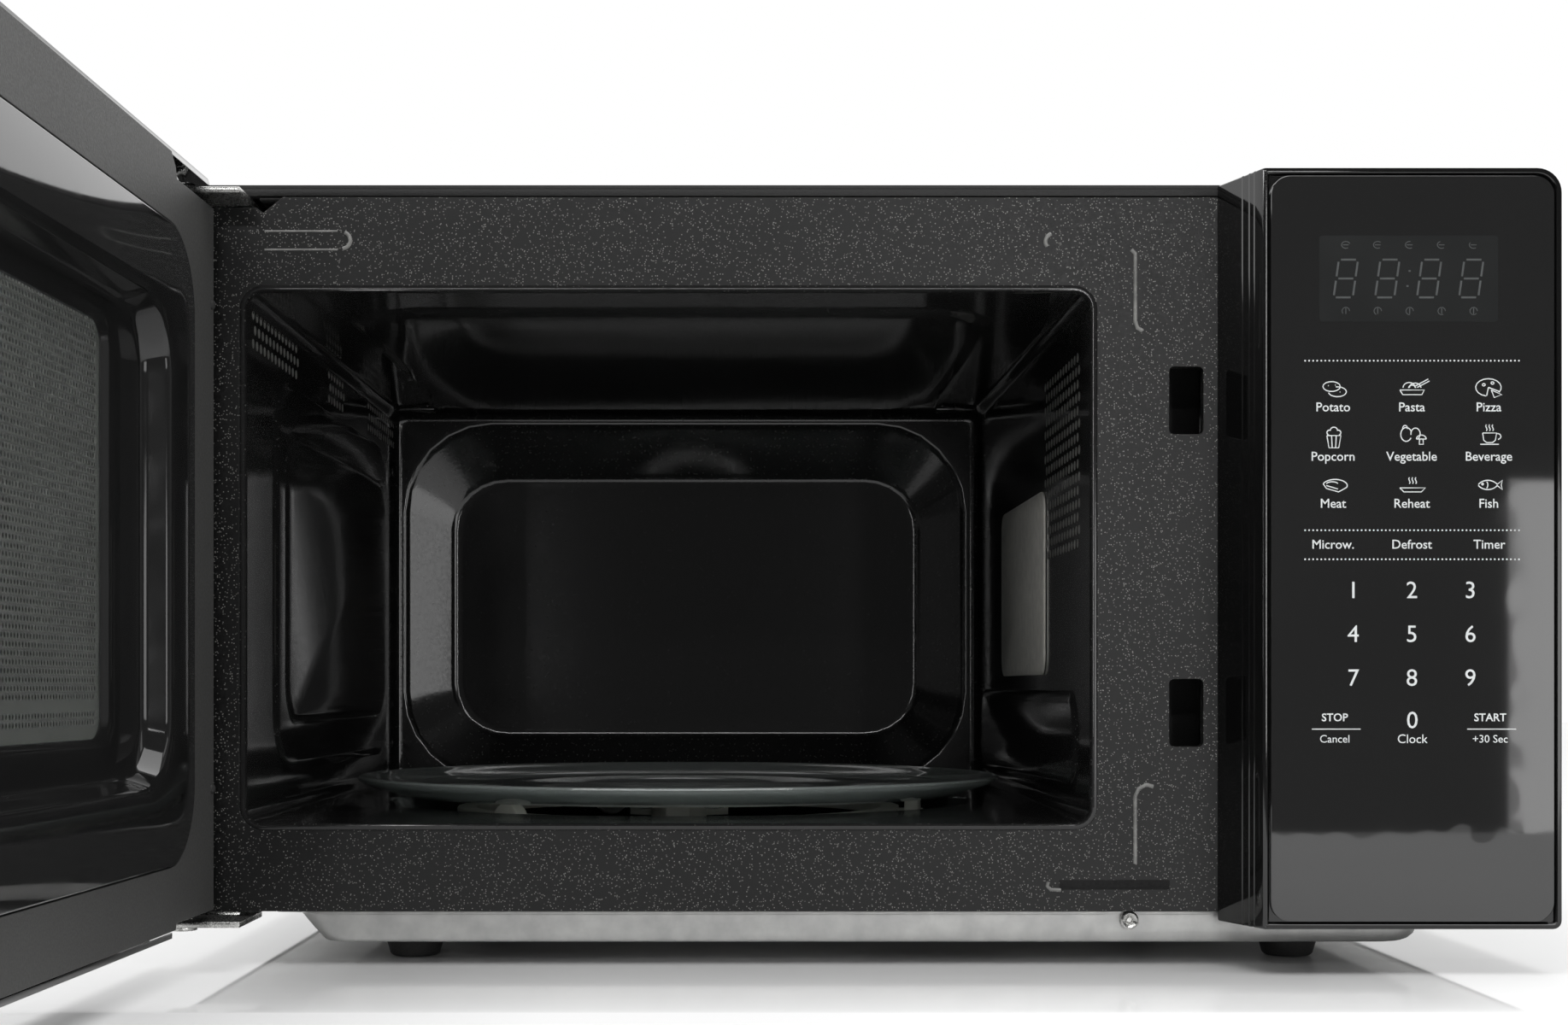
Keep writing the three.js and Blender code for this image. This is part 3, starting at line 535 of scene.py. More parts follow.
# Smoked float glass of the door: dark grey, mirror smooth.
doorGlassTint = clearFinish("smoked door glass", {"colour": "#3a3c3c", "through": 0.9, "rough": (0.0, 0.04)})
# Thin polyester film over the door window: almost nothing but a weak gloss.
clearFilm = clearFinish("clear polyester film", {
    "colour": "#e6e9e7", "through": 0.97, "rough": (0.0, 0.03), "ior": 1.12})
# Smoked acrylic over the display: a shade paler than the keypad film.
displayLens = finish("smoked display lens", {
    "colour": "#232424", "second": "#262727", "patch": 30, "grain": 30, "rough": (0.05, 0.1), "bump": 0.3})
print("finishes made")


# Room, light and camera.

def makeStudio():
    look = {"lens": 48.81, "sensor": 36, "distance": 758.5, "side": -46.3, "eye": 99.5,
            "shift": (0.0368, 0.1106)}
    camera = bpy.data.objects.new("camera", bpy.data.cameras.new("camera"))
    bpy.context.scene.collection.objects.link(camera)
    camera.data.lens = look["lens"]
    camera.data.sensor_width = look["sensor"]
    camera.data.shift_x, camera.data.shift_y = look["shift"]
    camera.data.clip_end = 30
    camera.location = toOven @ Vector((look["side"], -look["distance"], look["eye"]))
    camera.rotation_euler = (math.radians(90), 0, 0)
    bpy.context.scene.camera = camera

    # white behind the oven, dim in front of it, so that black gloss stays black
    world = bpy.data.worlds.new("studio")
    world.use_nodes = True
    tree = world.node_tree
    way = addNode(tree, "ShaderNodeSeparateXYZ", None,
                  {0: addNode(tree, "ShaderNodeTexCoord").outputs["Generated"]})
    depth = addNode(tree, "ShaderNodeMapRange", {"From Min": -1.0, "From Max": 1.0},
                    {"Value": way.outputs[1]})
    glow = addNode(tree, "ShaderNodeValToRGB", {"stops": [
        (0.3, (0.13, 0.13, 0.13, 1)), (0.55, (0.33, 0.33, 0.33, 1)), (0.72, (1, 1, 1, 1))]},
        {"Fac": depth.outputs[0]})
    tree.links.new(glow.outputs[0], tree.nodes["Background"].inputs["Color"])
    tree.nodes["Background"].inputs["Strength"].default_value = 1.0
    bpy.context.scene.world = world
    bpy.context.scene.view_settings.view_transform = "Standard"

    # white table top: its front edge lies close to the camera
    near, side, far = -0.735, 3.0, 5.0
    table = meshObject("table_top", [(-side, near, 0), (side, near, 0), (side, far, 0), (-side, far, 0)],
                       [(0, 1, 2, 3)])
    table.location.z = -0.0003
    gloss = finish("polished white laminate", {
        "colour": "#f6f6f6", "second": "#f9f9f9", "patch": 300, "grain": 60, "rough": (0.03, 0.05),
        "bump": 0.0, "ior": 1.7})
    # polished under the oven and worn matt in front of it
    tree = gloss.node_tree
    along = addNode(tree, "ShaderNodeSeparateXYZ", None,
                    {0: addNode(tree, "ShaderNodeTexCoord").outputs["Object"]})
    polish = addNode(tree, "ShaderNodeMapRange",
                     {"From Min": -0.105, "From Max": 0.03, "To Min": 0.0, "To Max": 0.4},
                     {"Value": along.outputs[1]})
    tree.links.new(polish.outputs[0], tree.nodes["Principled BSDF"].inputs["Specular IOR Level"])
    table.data.materials.append(gloss)

    # name, place, aim, size, watts
    lamps = (("overhead_softbox", (0.0, -0.2, 1.9), (0, 0.1, 0), (2.0, 1.6), 36),
             ("left_softbox", (-1.6, -1.0, 1.3), (0, 0, 0.15), (1.2, 1.0), 10),
             ("right_softbox", (1.17, -1.45, 0.095), (1.17, 0, 0.095), (0.82, 0.43), 3.4),
             ("door_softbox", (1.1, -0.45, 0.95), (-0.25, -0.15, 0.16), (0.3, 0.8), 1.0),
             ("left_strip", (-0.41, -1.7, 0.22), (-0.41, 0, 0.22), (0.04, 0.28), 0.4),
             ("right_strip", (0.38, -1.6, 0.34), (0.1, 0.3, 0.12), (0.05, 0.6), 1.7),
             ("top_strip", (0.0, -1.6, 0.78), (0, 0.2, 0.12), (1.3, 0.06), 3.6),
             ("rear_softbox", (0.2, 2.2, 1.2), (0, 0.2, 0.15), (1.6, 1.2), 4))
    for name, place3d, aim, size2d, watts in lamps:
        lamp = bpy.data.objects.new(name, bpy.data.lights.new(name, "AREA"))
        bpy.context.scene.collection.objects.link(lamp)
        lamp.data.shape = "RECTANGLE"
        lamp.data.size, lamp.data.size_y = size2d
        lamp.data.energy = watts
        lamp.location = place3d
        lamp.rotation_euler = (Vector(aim) - Vector(place3d)).to_track_quat("-Z", "Y").to_euler()


makeStudio()
print("studio made")


# Oven cavity.

cavityLook = {"emboss": 1.4, "wellLip": 2, "holePitch": (6.4, 5.2), "lampHolePitch": (6.6, 4.9),
              "weldPitch": 20}


# A low pressed plateau on a wall.
def embossedField(name, across, up, radius, matrix, height, slope=4):
    def step(inset, rise):
        room = min(across[1] - across[0], up[1] - up[0]) / 2 - inset - 0.01
        return [Vector((p.x, p.z, rise)) for p in roundedLoop(
            (across[0] + inset, across[1] - inset), (up[0] + inset, up[1] - inset),
            min(radius - inset * 0.4, room), 0)]
    loops = [step(0, -0.3), step(0.4, 0.15), step(slope * 0.5, height * 0.55),
             step(slope - 0.5, height - 0.1), step(slope + 0.5, height)]
    made = loft(name, loops, capLast=True)
    made.data.transform(matrix)
    return made


def makeCavity():
    x, z, depth, corner = cavity["x"], cavity["z"], cavity["depth"], cavity["corner"]

    def section(y, grow=0.0, radius=corner):
        return roundedLoop((x[0] - grow, x[1] + grow), (z[0] - grow, z[1] + grow), radius, y, 6)

    # the rolled rim, the four walls, then the rear wall's sloped pressing
    outer = (-212.6, 77.0), (50.9, 235.0)
    inner = (-186.0, 51.5), (75.0, 206.0)

    def rearRing(share, y, radius):
        a = [outer[0][i] + (inner[0][i] - outer[0][i]) * share for i in (0, 1)]
        b = [outer[1][i] + (inner[1][i] - outer[1][i]) * share for i in (0, 1)]
        return roundedLoop(a, b, radius, y, 6)

    rim = [section(0.4, 2.6, 8.6), section(-0.35, 2.2, 8.2), section(-0.7, 1.3, 7.3),
           section(-0.55, 0.4, 6.4), section(0.1), section(2.5)]
    walls = [section(3.5), section(depth - 6), section(depth - 4), section(depth - 2, -0.5, 5.5),
             section(depth - 0.5, -2, 4.4), section(depth, -4, 4), section(depth, -4.4, 4)]
    rear = [rearRing(share, depth + y, r) for share, y, r in (
        (-0.04, 0.05, 46), (0.0, 0.15, 45), (0.03, 0.5, 44.5), (0.07, 1.1, 43.6), (0.12, 1.8, 42.4),
        (0.86, 8.3, 28.5), (0.91, 9.0, 27.6), (0.95, 9.5, 27), (0.99, 9.8, 26.3), (1.05, 9.95, 25.5),
        (1.09, 9.97, 25), (1.16, 9.97, 24))]
    shell = loft("cavity_shell", rim + walls + rear, capLast=True)
    work = bmesh.new()
    work.from_mesh(shell.data)
    floorFaces = [f for f in work.faces if all(abs(v.co.z - z[0]) < 0.01 for v in f.verts)
                  and 0 < f.calc_center_median().y < depth - 3]
    bmesh.ops.delete(work, geom=floorFaces, context="FACES")
    work.to_mesh(shell.data)
    work.free()

    # the floor sheet with its round well for the roller ring
    hub = (turntable["x"], turntable["y"])
    edge = [(x[0] + corner, 0.1), (x[1] - corner, 0.1), (x[1] - corner, depth - 3),
            (x[0] + corner, depth - 3)]
    top, foot = turntable["recessTop"], turntable["recessRadius"]
    lip = top + cavityLook["wellLip"]
    well = [(p.x, p.y) for p in circleLoop(hub, lip, 0)]
    floor = flatPlate("cavity_floor", [edge, well], 0.02, 0, facingUp(z[0]))
    deep = turntable["recessFloor"]
    profile = [(lip, z[0]), (top + 0.6, z[0] - 0.4), (top - 0.6, z[0] - 1.6), (foot + 1.2, deep + 1.4),
               (foot - 0.6, deep + 0.2), (foot - 2.5, deep), (84, deep), (82, deep + 0.8),
               (46, deep + 0.8), (44, deep), (20, deep), (16, deep - 0.6), (7.2, deep - 0.6)]
    pan = loft("cavity_well", [circleLoop(hub, r, h) for r, h in profile])
    liner = joined("cavity_liner_body", [shell, floor, pan])

    # pressed plateaus and beads on the side walls and the ceiling
    lift = cavityLook["emboss"]
    fields = [
        embossedField("left_field", (46, 311), (65.5, 218), 24, facingRight(x[0]), lift),
        embossedField("left_upper_field", (60, 300), (84, 200), 18, facingRight(x[0] + lift), 0.9),
        embossedField("right_field", (-318, -28), (58, 98), 12, facingLeft(x[1]), lift),
    ]
    ceiling = Matrix(((1, 0, 0, 0), (0, 1, 0, 0), (0, 0, -1, z[1]), (0, 0, 0, 1)))
    fields.append(embossedField("ceiling_field", (x[0] + 26, x[1] - 26), (34, 312), 30, ceiling, 2.2, 7))
    for sign, cx in ((1, x[0] + 9), (-1, x[1] - 9)):
        for k in range(3):  # radiating beads at the rear corners of the ceiling
            bead = embossedField("corner_bead", (-11, 11), (-1.6, 1.6), 1.5, ceiling, 1.2, 1.2)
            bead.data.transform(Matrix.Translation((cx + sign * 5, 322 - 7 * k, 0))
                                @ Matrix.Rotation(sign * -0.55 * (k - 1), 4, "Z"))
            fields.append(bead)
    fields = [tidyNormals(field) for field in fields]
    place(joined("cavity_liner_pressed", [liner] + fields), cavityEnamel, "root",
          ("cavity_liner",), smooth=40)

    # punched holes: small dished rings in the walls, about 3.4 mm wide
    def dish(name, radius):
        steps = 10
        rings = [circleLoop((0, 0), r, h, steps) for r, h in
                 ((radius + 0.5, 0.02), (radius + 0.25, 0.16), (radius, 0.12), (radius * 0.92, 0.03))]
        return loft(name, rings, capLast=True)

    hole = dish("hole_cell", 1.3)
    left = facingRight(x[0])
    groups = []
    pitch, lampPitch = cavityLook["holePitch"], cavityLook["lampHolePitch"]
    for start, end in ((11, 88), (158, 190), (259, 335)):
        columns = round((end - start) / pitch[0]) + 1
        groups.append(onGrid("left_wall_holes", hole, columns, 3, pitch, holeEdge,
                             ((start + end) / 2, 228.6), pitch[0] / 2, left))
    groups.append(onGrid("lamp_holes", hole, 13, 15, lampPitch, holeEdge, (-67, 186.5), lampPitch[0] / 2,
                         facingLeft(x[1])))
    removed(hole)
    place(joined("cavity_wall_holes", groups), holeEdge, "root")

    # spot welds beside the rear corners
    weld = turnedCell("weld_cell", ((0, 0.45), (1.4, 0.4), (2.1, 0.15), (2.4, 0)), 12)
    points = [(x[1] - 0.02, depth - 8, 70 + cavityLook["weldPitch"] * k) for k in range(8)]
    weld.data.transform(Matrix.Rotation(math.radians(-90), 4, "Y"))
    rightWelds = onPoints("right_spot_welds", weld, points, cavityEnamel)
    weld.data.transform(Matrix.Rotation(math.radians(180), 4, "Z"))
    leftWelds = onPoints("left_spot_welds", weld, [(x[0] + 0.02, p[1], p[2]) for p in points], cavityEnamel)
    removed(weld)
    place(joined("cavity_spot_welds", [rightWelds, leftWelds]), cavityEnamel, "root")


# A small turned form for repeats, facing +z.
def turnedCell(name, profile, steps=12):
    made = loft(name, [circleLoop((0, 0), max(r, 0.001), h, steps) for r, h in profile])
    return tidyNormals(made, 0.004)


def makeMica():
    loops = [roundedLoop((-236 + i, -105 - i), (104 + i, 179 - i), 8, 0) for i in (0, 0.5)]
    lift = ((0, 0.25), (0, 1.0), (1, 1.25))
    made = loft("mica_cover_sheet", [[Vector((p.x, p.z, h)) for p in loops[i]] for i, h in lift],
                capFirst=True, capLast=True)
    made.data.transform(facingLeft(cavity["x"][1]))
    place(tidyNormals(made), micaSheet, "root", ("waveguide_cover",))


makeCavity()
makeMica()
print("cavity made")


# Front frame.

frameLook = {"half": 240, "z": (19.0, 274.0), "thickness": 1.2, "wide": 1.5, "bead": 0.8}


# A pressed bead along a line on the front frame: a low dome with round ends.
def ridge(name, points, width, height, y=0.0):
    curve = bpy.data.curves.new(name, "CURVE")
    curve.dimensions = "3D"
    curve.bevel_depth = width / 2
    curve.bevel_resolution = 3
    curve.use_fill_caps = True
    spline = curve.splines.new("POLY")
    spline.points.add(len(points) - 1)
    for point, (u, v) in zip(spline.points, points):
        point.co = (u, 0, v, 1)
    made = bpy.data.objects.new(name, curve)
    bpy.context.scene.collection.objects.link(made)
    made = applied(made)
    made.data.transform(Matrix.Translation((0, y, 0)) @ Matrix.Diagonal((1, 2 * height / width, 1, 1)))
    return made


def makeFrontFrame():
    half, (bottom, top) = frameLook["half"], frameLook["z"]
    notch = (-214.7, 270.3)  # clears the upper hinge bracket
    edge = [(-half, bottom), (half, bottom), (half, top), (-204.5, top), (-211.5, 268.4),
            (notch[0] + 0.6, notch[1]), (-half, notch[1])]
    x, z = cavity["x"], cavity["z"]
    opening = roundedOutline((x[0] - 2.3, x[1] + 2.3), (z[0] - 2.3, z[1] + 2.3), 8.3, 6)
    slots = [roundedOutline(latchSlots["x"], (low, low + latchSlots["height"]), 1.6, 3)
             for low in latchSlots["bottoms"]]
    plate = flatPlate("frame_plate", [edge, opening] + slots, frameLook["thickness"], 0.25,
                      upright(frameLook["thickness"] / 2))
    flange = [box("frame_flange", (-half + 27, half), (0.8, 12), (top - 1.2, top - 0.05), 0.3),
              box("frame_flange", (-half + 28, half), (0.8, 12), (bottom + 0.05, bottom + 1.2), 0.3),
              box("frame_flange", (half - 1.2, half - 0.05), (0.8, 12), (bottom, top), 0.3)]
    wide, high = frameLook["wide"], frameLook["bead"]
    upperGroove = [(98.2, 255.2), (99.6, 253.8), (99.6, 229.5), (100.4, 227.2), (102.2, 226.2)]
    lowerGroove = [(99.6, 36), (99.6, 60), (100.8, 62.8), (103.5, 64.2), (106, 63.6)]
    beads = [ridge("pill_end", arc(-183.4, 258.5, 3.0, 3.0, -85, 70, 8), wide, high),
             ridge("pill_line", [(-211, 261.8), (-185, 261.8)], 0.7, 0.25),
             ridge("pill_line", [(-211, 255.2), (-185, 255.2)], 0.7, 0.25),
             ridge("pill_end", arc(70.6, 258.0, 3.0, 3.0, 110, 215, 8), wide, high),
             ridge("groove", upperGroove, wide, high),
             ridge("groove", lowerGroove, wide, high),
             ridge("lower_bead", [(68.6, 29.6), (68.2, 28.0), (69.4, 26.8), (73, 26.6)], 1.4, high)]
    # a low bead painted near black as the shade of a long pressed slot
    lowerSlotShade = ridge("lower_bead", [(72.6, 28.5), (111.8, 28.5)], 3.6, 0.36)
    # short returns inside each latch slot give the sheet its depth
    returns = []
    for low in latchSlots["bottoms"]:
        loops = [roundedLoop(latchSlots["x"], (low, low + latchSlots["height"]), 1.6, y, 3)
                 for y in (0.9, 4.5)]
        returns.append(loft("slot_return", loops))
    place(joined("front_frame_plate", [plate] + flange + returns), speckledEnamel, "root",
          ("front_frame",), smooth=40)
    # painted slot shade on the low bead
    place(lowerSlotShade, deepShadow, "root", smooth=60)
    # the beads carry a painted highlight colour
    place(joined("front_frame_beads", beads), beadHighlightPaint, "root", smooth=60)


makeFrontFrame()
print("front frame made")


# Turntable.

def makeTurntable():
    hub = (turntable["x"], turntable["y"])
    # rolled rim, sloped wall and a flat floor with a raised drip ring
    profile = [(0, 53.1), (20, 53.1), (60, 53.3), (117, 53.1), (120, 53.25), (129, 55.9), (135.4, 58.0),
               (137.2, 58.9), (137.9, 59.8), (138, 60.5), (137.6, 61.1), (136.8, 61.4), (135.6, 61.3),
               (134.4, 60.8), (133, 60.6), (127, 59.3), (121, 57.8), (118, 57.4), (112, 57.4), (111, 57.75),
               (109.5, 57.75), (108.5, 57.4), (42, 57.4), (41, 57.7), (39.5, 57.7), (38.5, 57.4), (0, 57.4)]
    dish = turnedShape("glass_plate_dish", profile, (hub[0], hub[1], 0), 128)
    lugs = []
    for degrees in (90, 210, 330):
        lug = box("plate_lug", (14.5, 21), (-4, 4), (46.5, 53.4), 0.8)
        lug.data.transform(Matrix.Translation((hub[0], hub[1], 0))
                           @ Matrix.Rotation(math.radians(degrees), 4, "Z"))
        lugs.append(lug)
    place(joined("glass_plate_finished", [dish] + lugs), clearGlass, "plate",
          ("glass_plate",))
    softened("roller_ring", whiteResin, 0.5)
    softened("drive_coupler", whiteResin, 0.7)
    for index in (1, 2, 3):
        softened("roller_" + str(index), whiteResin, 0.7)


makeTurntable()
print("turntable made")


# Control panel.

panelSize = {"left": 129, "faceLeft": 138.5, "right": 241.5, "z": (15.6, 278), "foot": -0.3, "face": -26.5}
keypadSize = {"columns": (162.6, 189.7, 216.2), "word": 3.15, "figure": 5.9, "line": 0.42,
              "figurePitch": (20.15, 15.1)}
displaySize = {"middle": 239.8, "width": 6.6, "height": 13.0, "stroke": 0.75, "slant": 0.14}


# Strips of ink: round strokes along lines, pressed flat on the panel's face.
def inkLines(name, strokes, width, centre, face):
    curve = bpy.data.curves.new(name, "CURVE")
    curve.dimensions = "3D"
    curve.bevel_depth = width / 2
    curve.bevel_resolution = 1
    curve.use_fill_caps = True
    for points in strokes:
        spline = curve.splines.new("POLY")
        spline.points.add(len(points) - 1)
        for point, (u, v) in zip(spline.points, points):
            point.co = (u, 0, v, 1)
    made = bpy.data.objects.new(name, curve)
    bpy.context.scene.collection.objects.link(made)
    made = applied(made)
    made.data.transform(Matrix.Translation((centre[0], face, centre[1]))
                        @ Matrix.Diagonal((1, 0.06 / width, 1, 1)))
    return made


# Printed words and figures: capHeight is the height of a capital letter.
def lettering(text, centre, capHeight, face, heavy=0.0):
    curve = bpy.data.curves.new("words", "FONT")
    curve.body = text
    curve.size = capHeight / 0.71
    curve.align_x = "CENTER"
    curve.align_y = "CENTER"
    curve.resolution_u = 3
    curve.offset = heavy
    curve.extrude = 0.02
    made = bpy.data.objects.new("words", curve)
    bpy.context.scene.collection.objects.link(made)
    made = applied(made)
    made.data.transform(Matrix.Translation((centre[0], face, centre[1])) @ upright(0))
    return made


# Line drawings for the nine food keys, each about its own centre.
def pictograms():
    steam = [[(x + dx, 1.6 + i * 0.55) for i, dx in enumerate((0, 0.25, 0, -0.25, 0))]
             for x in (-1.1, 0, 1.1)]
    cloud = [arc(-1.5, 1.0, 0.9, 0.9, 60, 250, 8), arc(0, 1.9, 1.2, 1.0, 10, 170, 8),
             arc(1.5, 1.0, 0.9, 0.9, -70, 120, 8)]
    return {
        "Potato": [arc(-0.8, 0.6, 3.0, 1.7), arc(1.2, -1.2, 3.1, 1.7, -170, 100), [(-2, 0.9), (-1.8, 0.9)],
                   [(0.4, 1.1), (0.6, 1.1)], [(2, -1.3), (2.2, -1.3)]],
        "Pasta": [[(-4.4, -0.6), (4.0, -0.6), (3.2, -2.2), (-3.4, -2.2), (-4.4, -0.6)],
                  arc(-1.2, 0.2, 2.1, 1.8, 0, 180, 8), arc(0.9, 0.2, 2.0, 1.6, 0, 180, 8),
                  arc(-0.2, 0.1, 1.2, 1.0, 0, 180, 8), [(1.0, 0.8), (5.4, 3.2)], [(1.6, 0.3), (5.8, 2.5)]],
        "Pizza": [arc(-0.4, 0.3, 4.4, 3.0, -35, 260), [(-0.4, 0.3), (3.6, -1.2)], [(-0.4, 0.3), (-1.0, -2.6)],
                  [(0.6, -0.6), (4.2, -2.2), (1.6, -3.2), (0.6, -0.6)], arc(-2, 1.2, 0.5, 0.4),
                  arc(1, 1.8, 0.5, 0.4)],
        "Popcorn": [[(-2.4, 0), (-1.7, -4.2), (1.7, -4.2), (2.4, 0), (-2.4, 0)], [(-0.8, 0), (-0.6, -4.2)],
                    [(0.8, 0), (0.6, -4.2)]] + cloud,
        "Vegetable": [arc(-2.2, 0.4, 1.9, 2.4, 20, 330), arc(-2.6, 2.6, 0.8, 0.9, -20, 200, 8),
                      arc(1.0, 0.6, 1.6, 2.0, -60, 190), arc(3.0, -1.2, 1.7, 1.4, 0, 180, 8),
                      [(1.3, -1.2), (4.7, -1.2)],
                      [(2.4, -1.2), (2.3, -3.0), (3.7, -3.0), (3.6, -1.2)]],
        "Beverage": [[(-2.4, 0.9), (2.4, 0.9), (2.0, -1.6), (1.0, -2.4), (-1.0, -2.4), (-2.0, -1.6),
                      (-2.4, 0.9)],
                     arc(2.7, -0.3, 1.2, 1.0, -80, 100, 8), [(-3.2, -3.0), (3.2, -3.0)]] + steam,
        "Meat": [arc(0.4, -0.2, 4.2, 2.1, -20, 165), [(-3.7, 0.4), (-2.6, -1.2), (1.6, -2.4), (4.3, -0.9)],
                 arc(-0.6, 0.3, 2.0, 0.8, 10, 170, 8), [(-2.6, -0.2), (1.4, -1.4)]],
        "Reheat": [[(-4.4, -1.0), (4.4, -1.0), (3.0, -2.4), (-3.0, -2.4), (-4.4, -1.0)]]
        + [[(x, z - 1.2) for x, z in line] for line in steam],
        "Fish": [arc(-0.6, -1.8, 4.0, 3.4, 35, 145, 10), arc(-0.6, 1.8, 4.0, 3.4, 215, 325, 10),
                 [(2.6, 0.2), (4.4, 1.6), (4.0, 0), (4.4, -1.6), (2.6, -0.2)], arc(-2.4, 0.3, 0.3, 0.3),
                 arc(-1.2, 0, 0.6, 1.2, -70, 70, 6)],
    }


def makePanelHousing():
    left, foot, face = panelSize["left"], panelSize["foot"], panelSize["face"]
    slope = panelSize["faceLeft"] - left

    def section(share, y, inset=0.0, ridge=0.0):
        x0, x1 = left + slope * share + inset - ridge, panelSize["right"] - inset
        z0, z1 = panelSize["z"][0] + inset, panelSize["z"][1] - inset
        points = []
        for cx, cz, radius, turn, steps in ((x1, z0, 3, -90, 5), (x1, z1, 8.5, 0, 9), (x0, z1, 0.9, 90, 3),
                                            (x0, z0, 0.9, 180, 3)):
            r = max(radius - inset, 0.3)
            sx, sz = (-r if cx == x1 else r), (r if cz == z0 else -r)
            for i in range(steps + 1):
                a = math.radians(turn + 90 * i / steps)
                points.append(Vector((cx + sx + r * math.cos(a), y, cz + sz + r * math.sin(a))))
        return points

    def ahead(share):
        return foot + (face - foot) * share

    # three fine ribs run down the slanted side beside the door
    loops = [section(0, foot)]
    for rib in (0.55, 0.70, 0.81):
        for step, height in ((-0.016, 0), (-0.006, 0.32), (0.006, 0.32), (0.016, 0)):
            loops.append(section(rib + step, ahead(rib + step), 0, height))
    loops += [section(0.975, ahead(0.975)), section(0.994, face + 0.12, 0.1), section(1, face, 0.45),
              section(1, face, 1.5), section(1, face + 0.15, 1.7), section(1, face + 1.5, 2.5)]
    housing = tidyNormals(loft("panel_housing_shell", loops, capFirst=True, capLast=True), 0.001)
    place(housing, pianoBlack, "root", ("control_panel_housing",), smooth=28)

    def sheet(y, inset):
        return roundedLoop((141.3 + inset, 238.9 - inset), (18.3 + inset, 275.3 - inset), 6.7 - inset, y, 8)

    overlay = loft("keypad_overlay", [sheet(face + 1.2, 0), sheet(face + 0.15, 0), sheet(face, 0.2)],
                   capFirst=True, capLast=True)
    place(tidyNormals(overlay), keypadFilm, "root", ("control_panel_overlay",), smooth=28)


def makePrinting():
    face = panelSize["face"] - 0.02
    # smoked display area, a shade lighter than the sheet around it
    lens = flatPlate("display_lens_face", [roundedOutline((157.9, 219.4), (225, 254.6), 0.8, 3)], 0.04, 0,
                     upright(panelSize["face"] - 0.01))
    place(lens, displayLens, "root", ("display_window",))

    # four slanted figure eights of seven strokes each, a colon, and small marks above and below
    slant, middle, stroke = displaySize["slant"], displaySize["middle"], displaySize["stroke"]

    def segment(u0, v0, u1, v1):
        trim = stroke / math.hypot(u1 - u0, v1 - v0)
        a = (u0 + (u1 - u0) * trim, v0 + (v1 - v0) * trim)
        b = (u1 - (u1 - u0) * trim, v1 - (v1 - v0) * trim)
        return [(a[0] + a[1] * slant, a[1]), (b[0] + b[1] * slant, b[1])]

    strokes = []
    w, h = displaySize["width"] / 2, displaySize["height"] / 2
    for cx in (167.0, 181.3, 195.7, 210.2):
        for u0, v0, u1, v1 in ((-w, h, w, h), (-w, 0, w, 0), (-w, -h, w, -h), (-w, 0, -w, h), (w, 0, w, h),
                               (-w, -h, -w, 0), (w, -h, w, 0)):
            strokes.append([(cx + u, middle + v) for u, v in segment(u0, v0, u1, v1)])
    for v in (-2.6, 2.6):
        strokes.append([(188.6 + v * slant, middle + v - 0.3), (188.6 + v * slant, middle + v + 0.3)])
    digits = inkLines("display_digits", strokes, stroke, (0, 0), face - 0.03)
    marks = []
    for k, cx in enumerate((167, 178, 189, 200, 211)):
        marks.append(arc(cx, 251.4, 1.5, 1.2, 20 + 30 * k, 300, 8))
        marks.append([(cx - 1, 251.4), (cx + 1, 251.4)])
        marks.append(arc(cx, 228.6, 1.3, 1.3, 0, 220 + 25 * k, 8))
        marks.append([(cx, 227.6), (cx, 229.6)])
    icons = inkLines("display_marks", marks, 0.3, (0, 0), face - 0.03)
    place(joined("display_segments", [digits, icons]), dimInk, "root")

    # dotted rules
    dot = flatPlate("dot_cell", [arc(0, 0, 0.32, 0.32, steps=8)[:8]], 0.04)
    printed = [onGrid("dotted_rule", dot, 54, 1, (1.389, 1.0), paleInk, (189.8, height), 0.0, upright(face))
               for height in (211.5, 153.1, 143.1)]
    removed(dot)

    columns, (across, down) = keypadSize["columns"], keypadSize["figurePitch"]
    word, figure = keypadSize["word"], keypadSize["figure"]
    heights = ((202, 195.4), (185.7, 178.4), (168.7, 162.2))
    for index, (food, drawing) in enumerate(pictograms().items()):
        x, (iconZ, wordZ) = columns[index % 3], heights[index // 3]
        printed.append(inkLines("pictogram", drawing, keypadSize["line"], (x + 0.3, iconZ), face))
        printed.append(lettering(food, (x, wordZ), word, face, 0.03))
    for text, x in (("Microw.", 162.6), ("Defrost", 189.7), ("Timer", 216.4)):
        printed.append(lettering(text, (x, 148.1), word, face, 0.03))
    for index in range(9):
        centre = (169.6 + across * (index % 3), 132.2 - down * (index // 3))
        printed.append(lettering(str(index + 1), centre, figure, face))
    printed.append(lettering("0", (189.9, 87.4), figure, face))
    for (bold, plain), x in ((("STOP", "Cancel"), 163.2), (("START", "+30 Sec"), 216.7)):
        printed.append(lettering(bold, (x, 88.5), 2.7, face, 0.05))
        printed.append(lettering(plain, (x, 81.1), 2.7, face))
        printed.append(inkLines("underline", [[(-8.4, 0), (8.4, 0)]], 0.4, (x + 0.5, 84.6), face))
    printed.append(lettering("Clock", (189.9, 81.1), 3.1, face))
    place(joined("keypad_printing", printed), paleInk, "root")


makePanelHousing()
makePrinting()
print("control panel made")


# Door.

doorSize = {"x": (-241.0, 127.0), "z": (18.4, 275.8), "ringX": (-217.4, 103.4), "ringZ": (39.6, 252.4),
            "ringRadius": 27.4, "depth": -16.0}


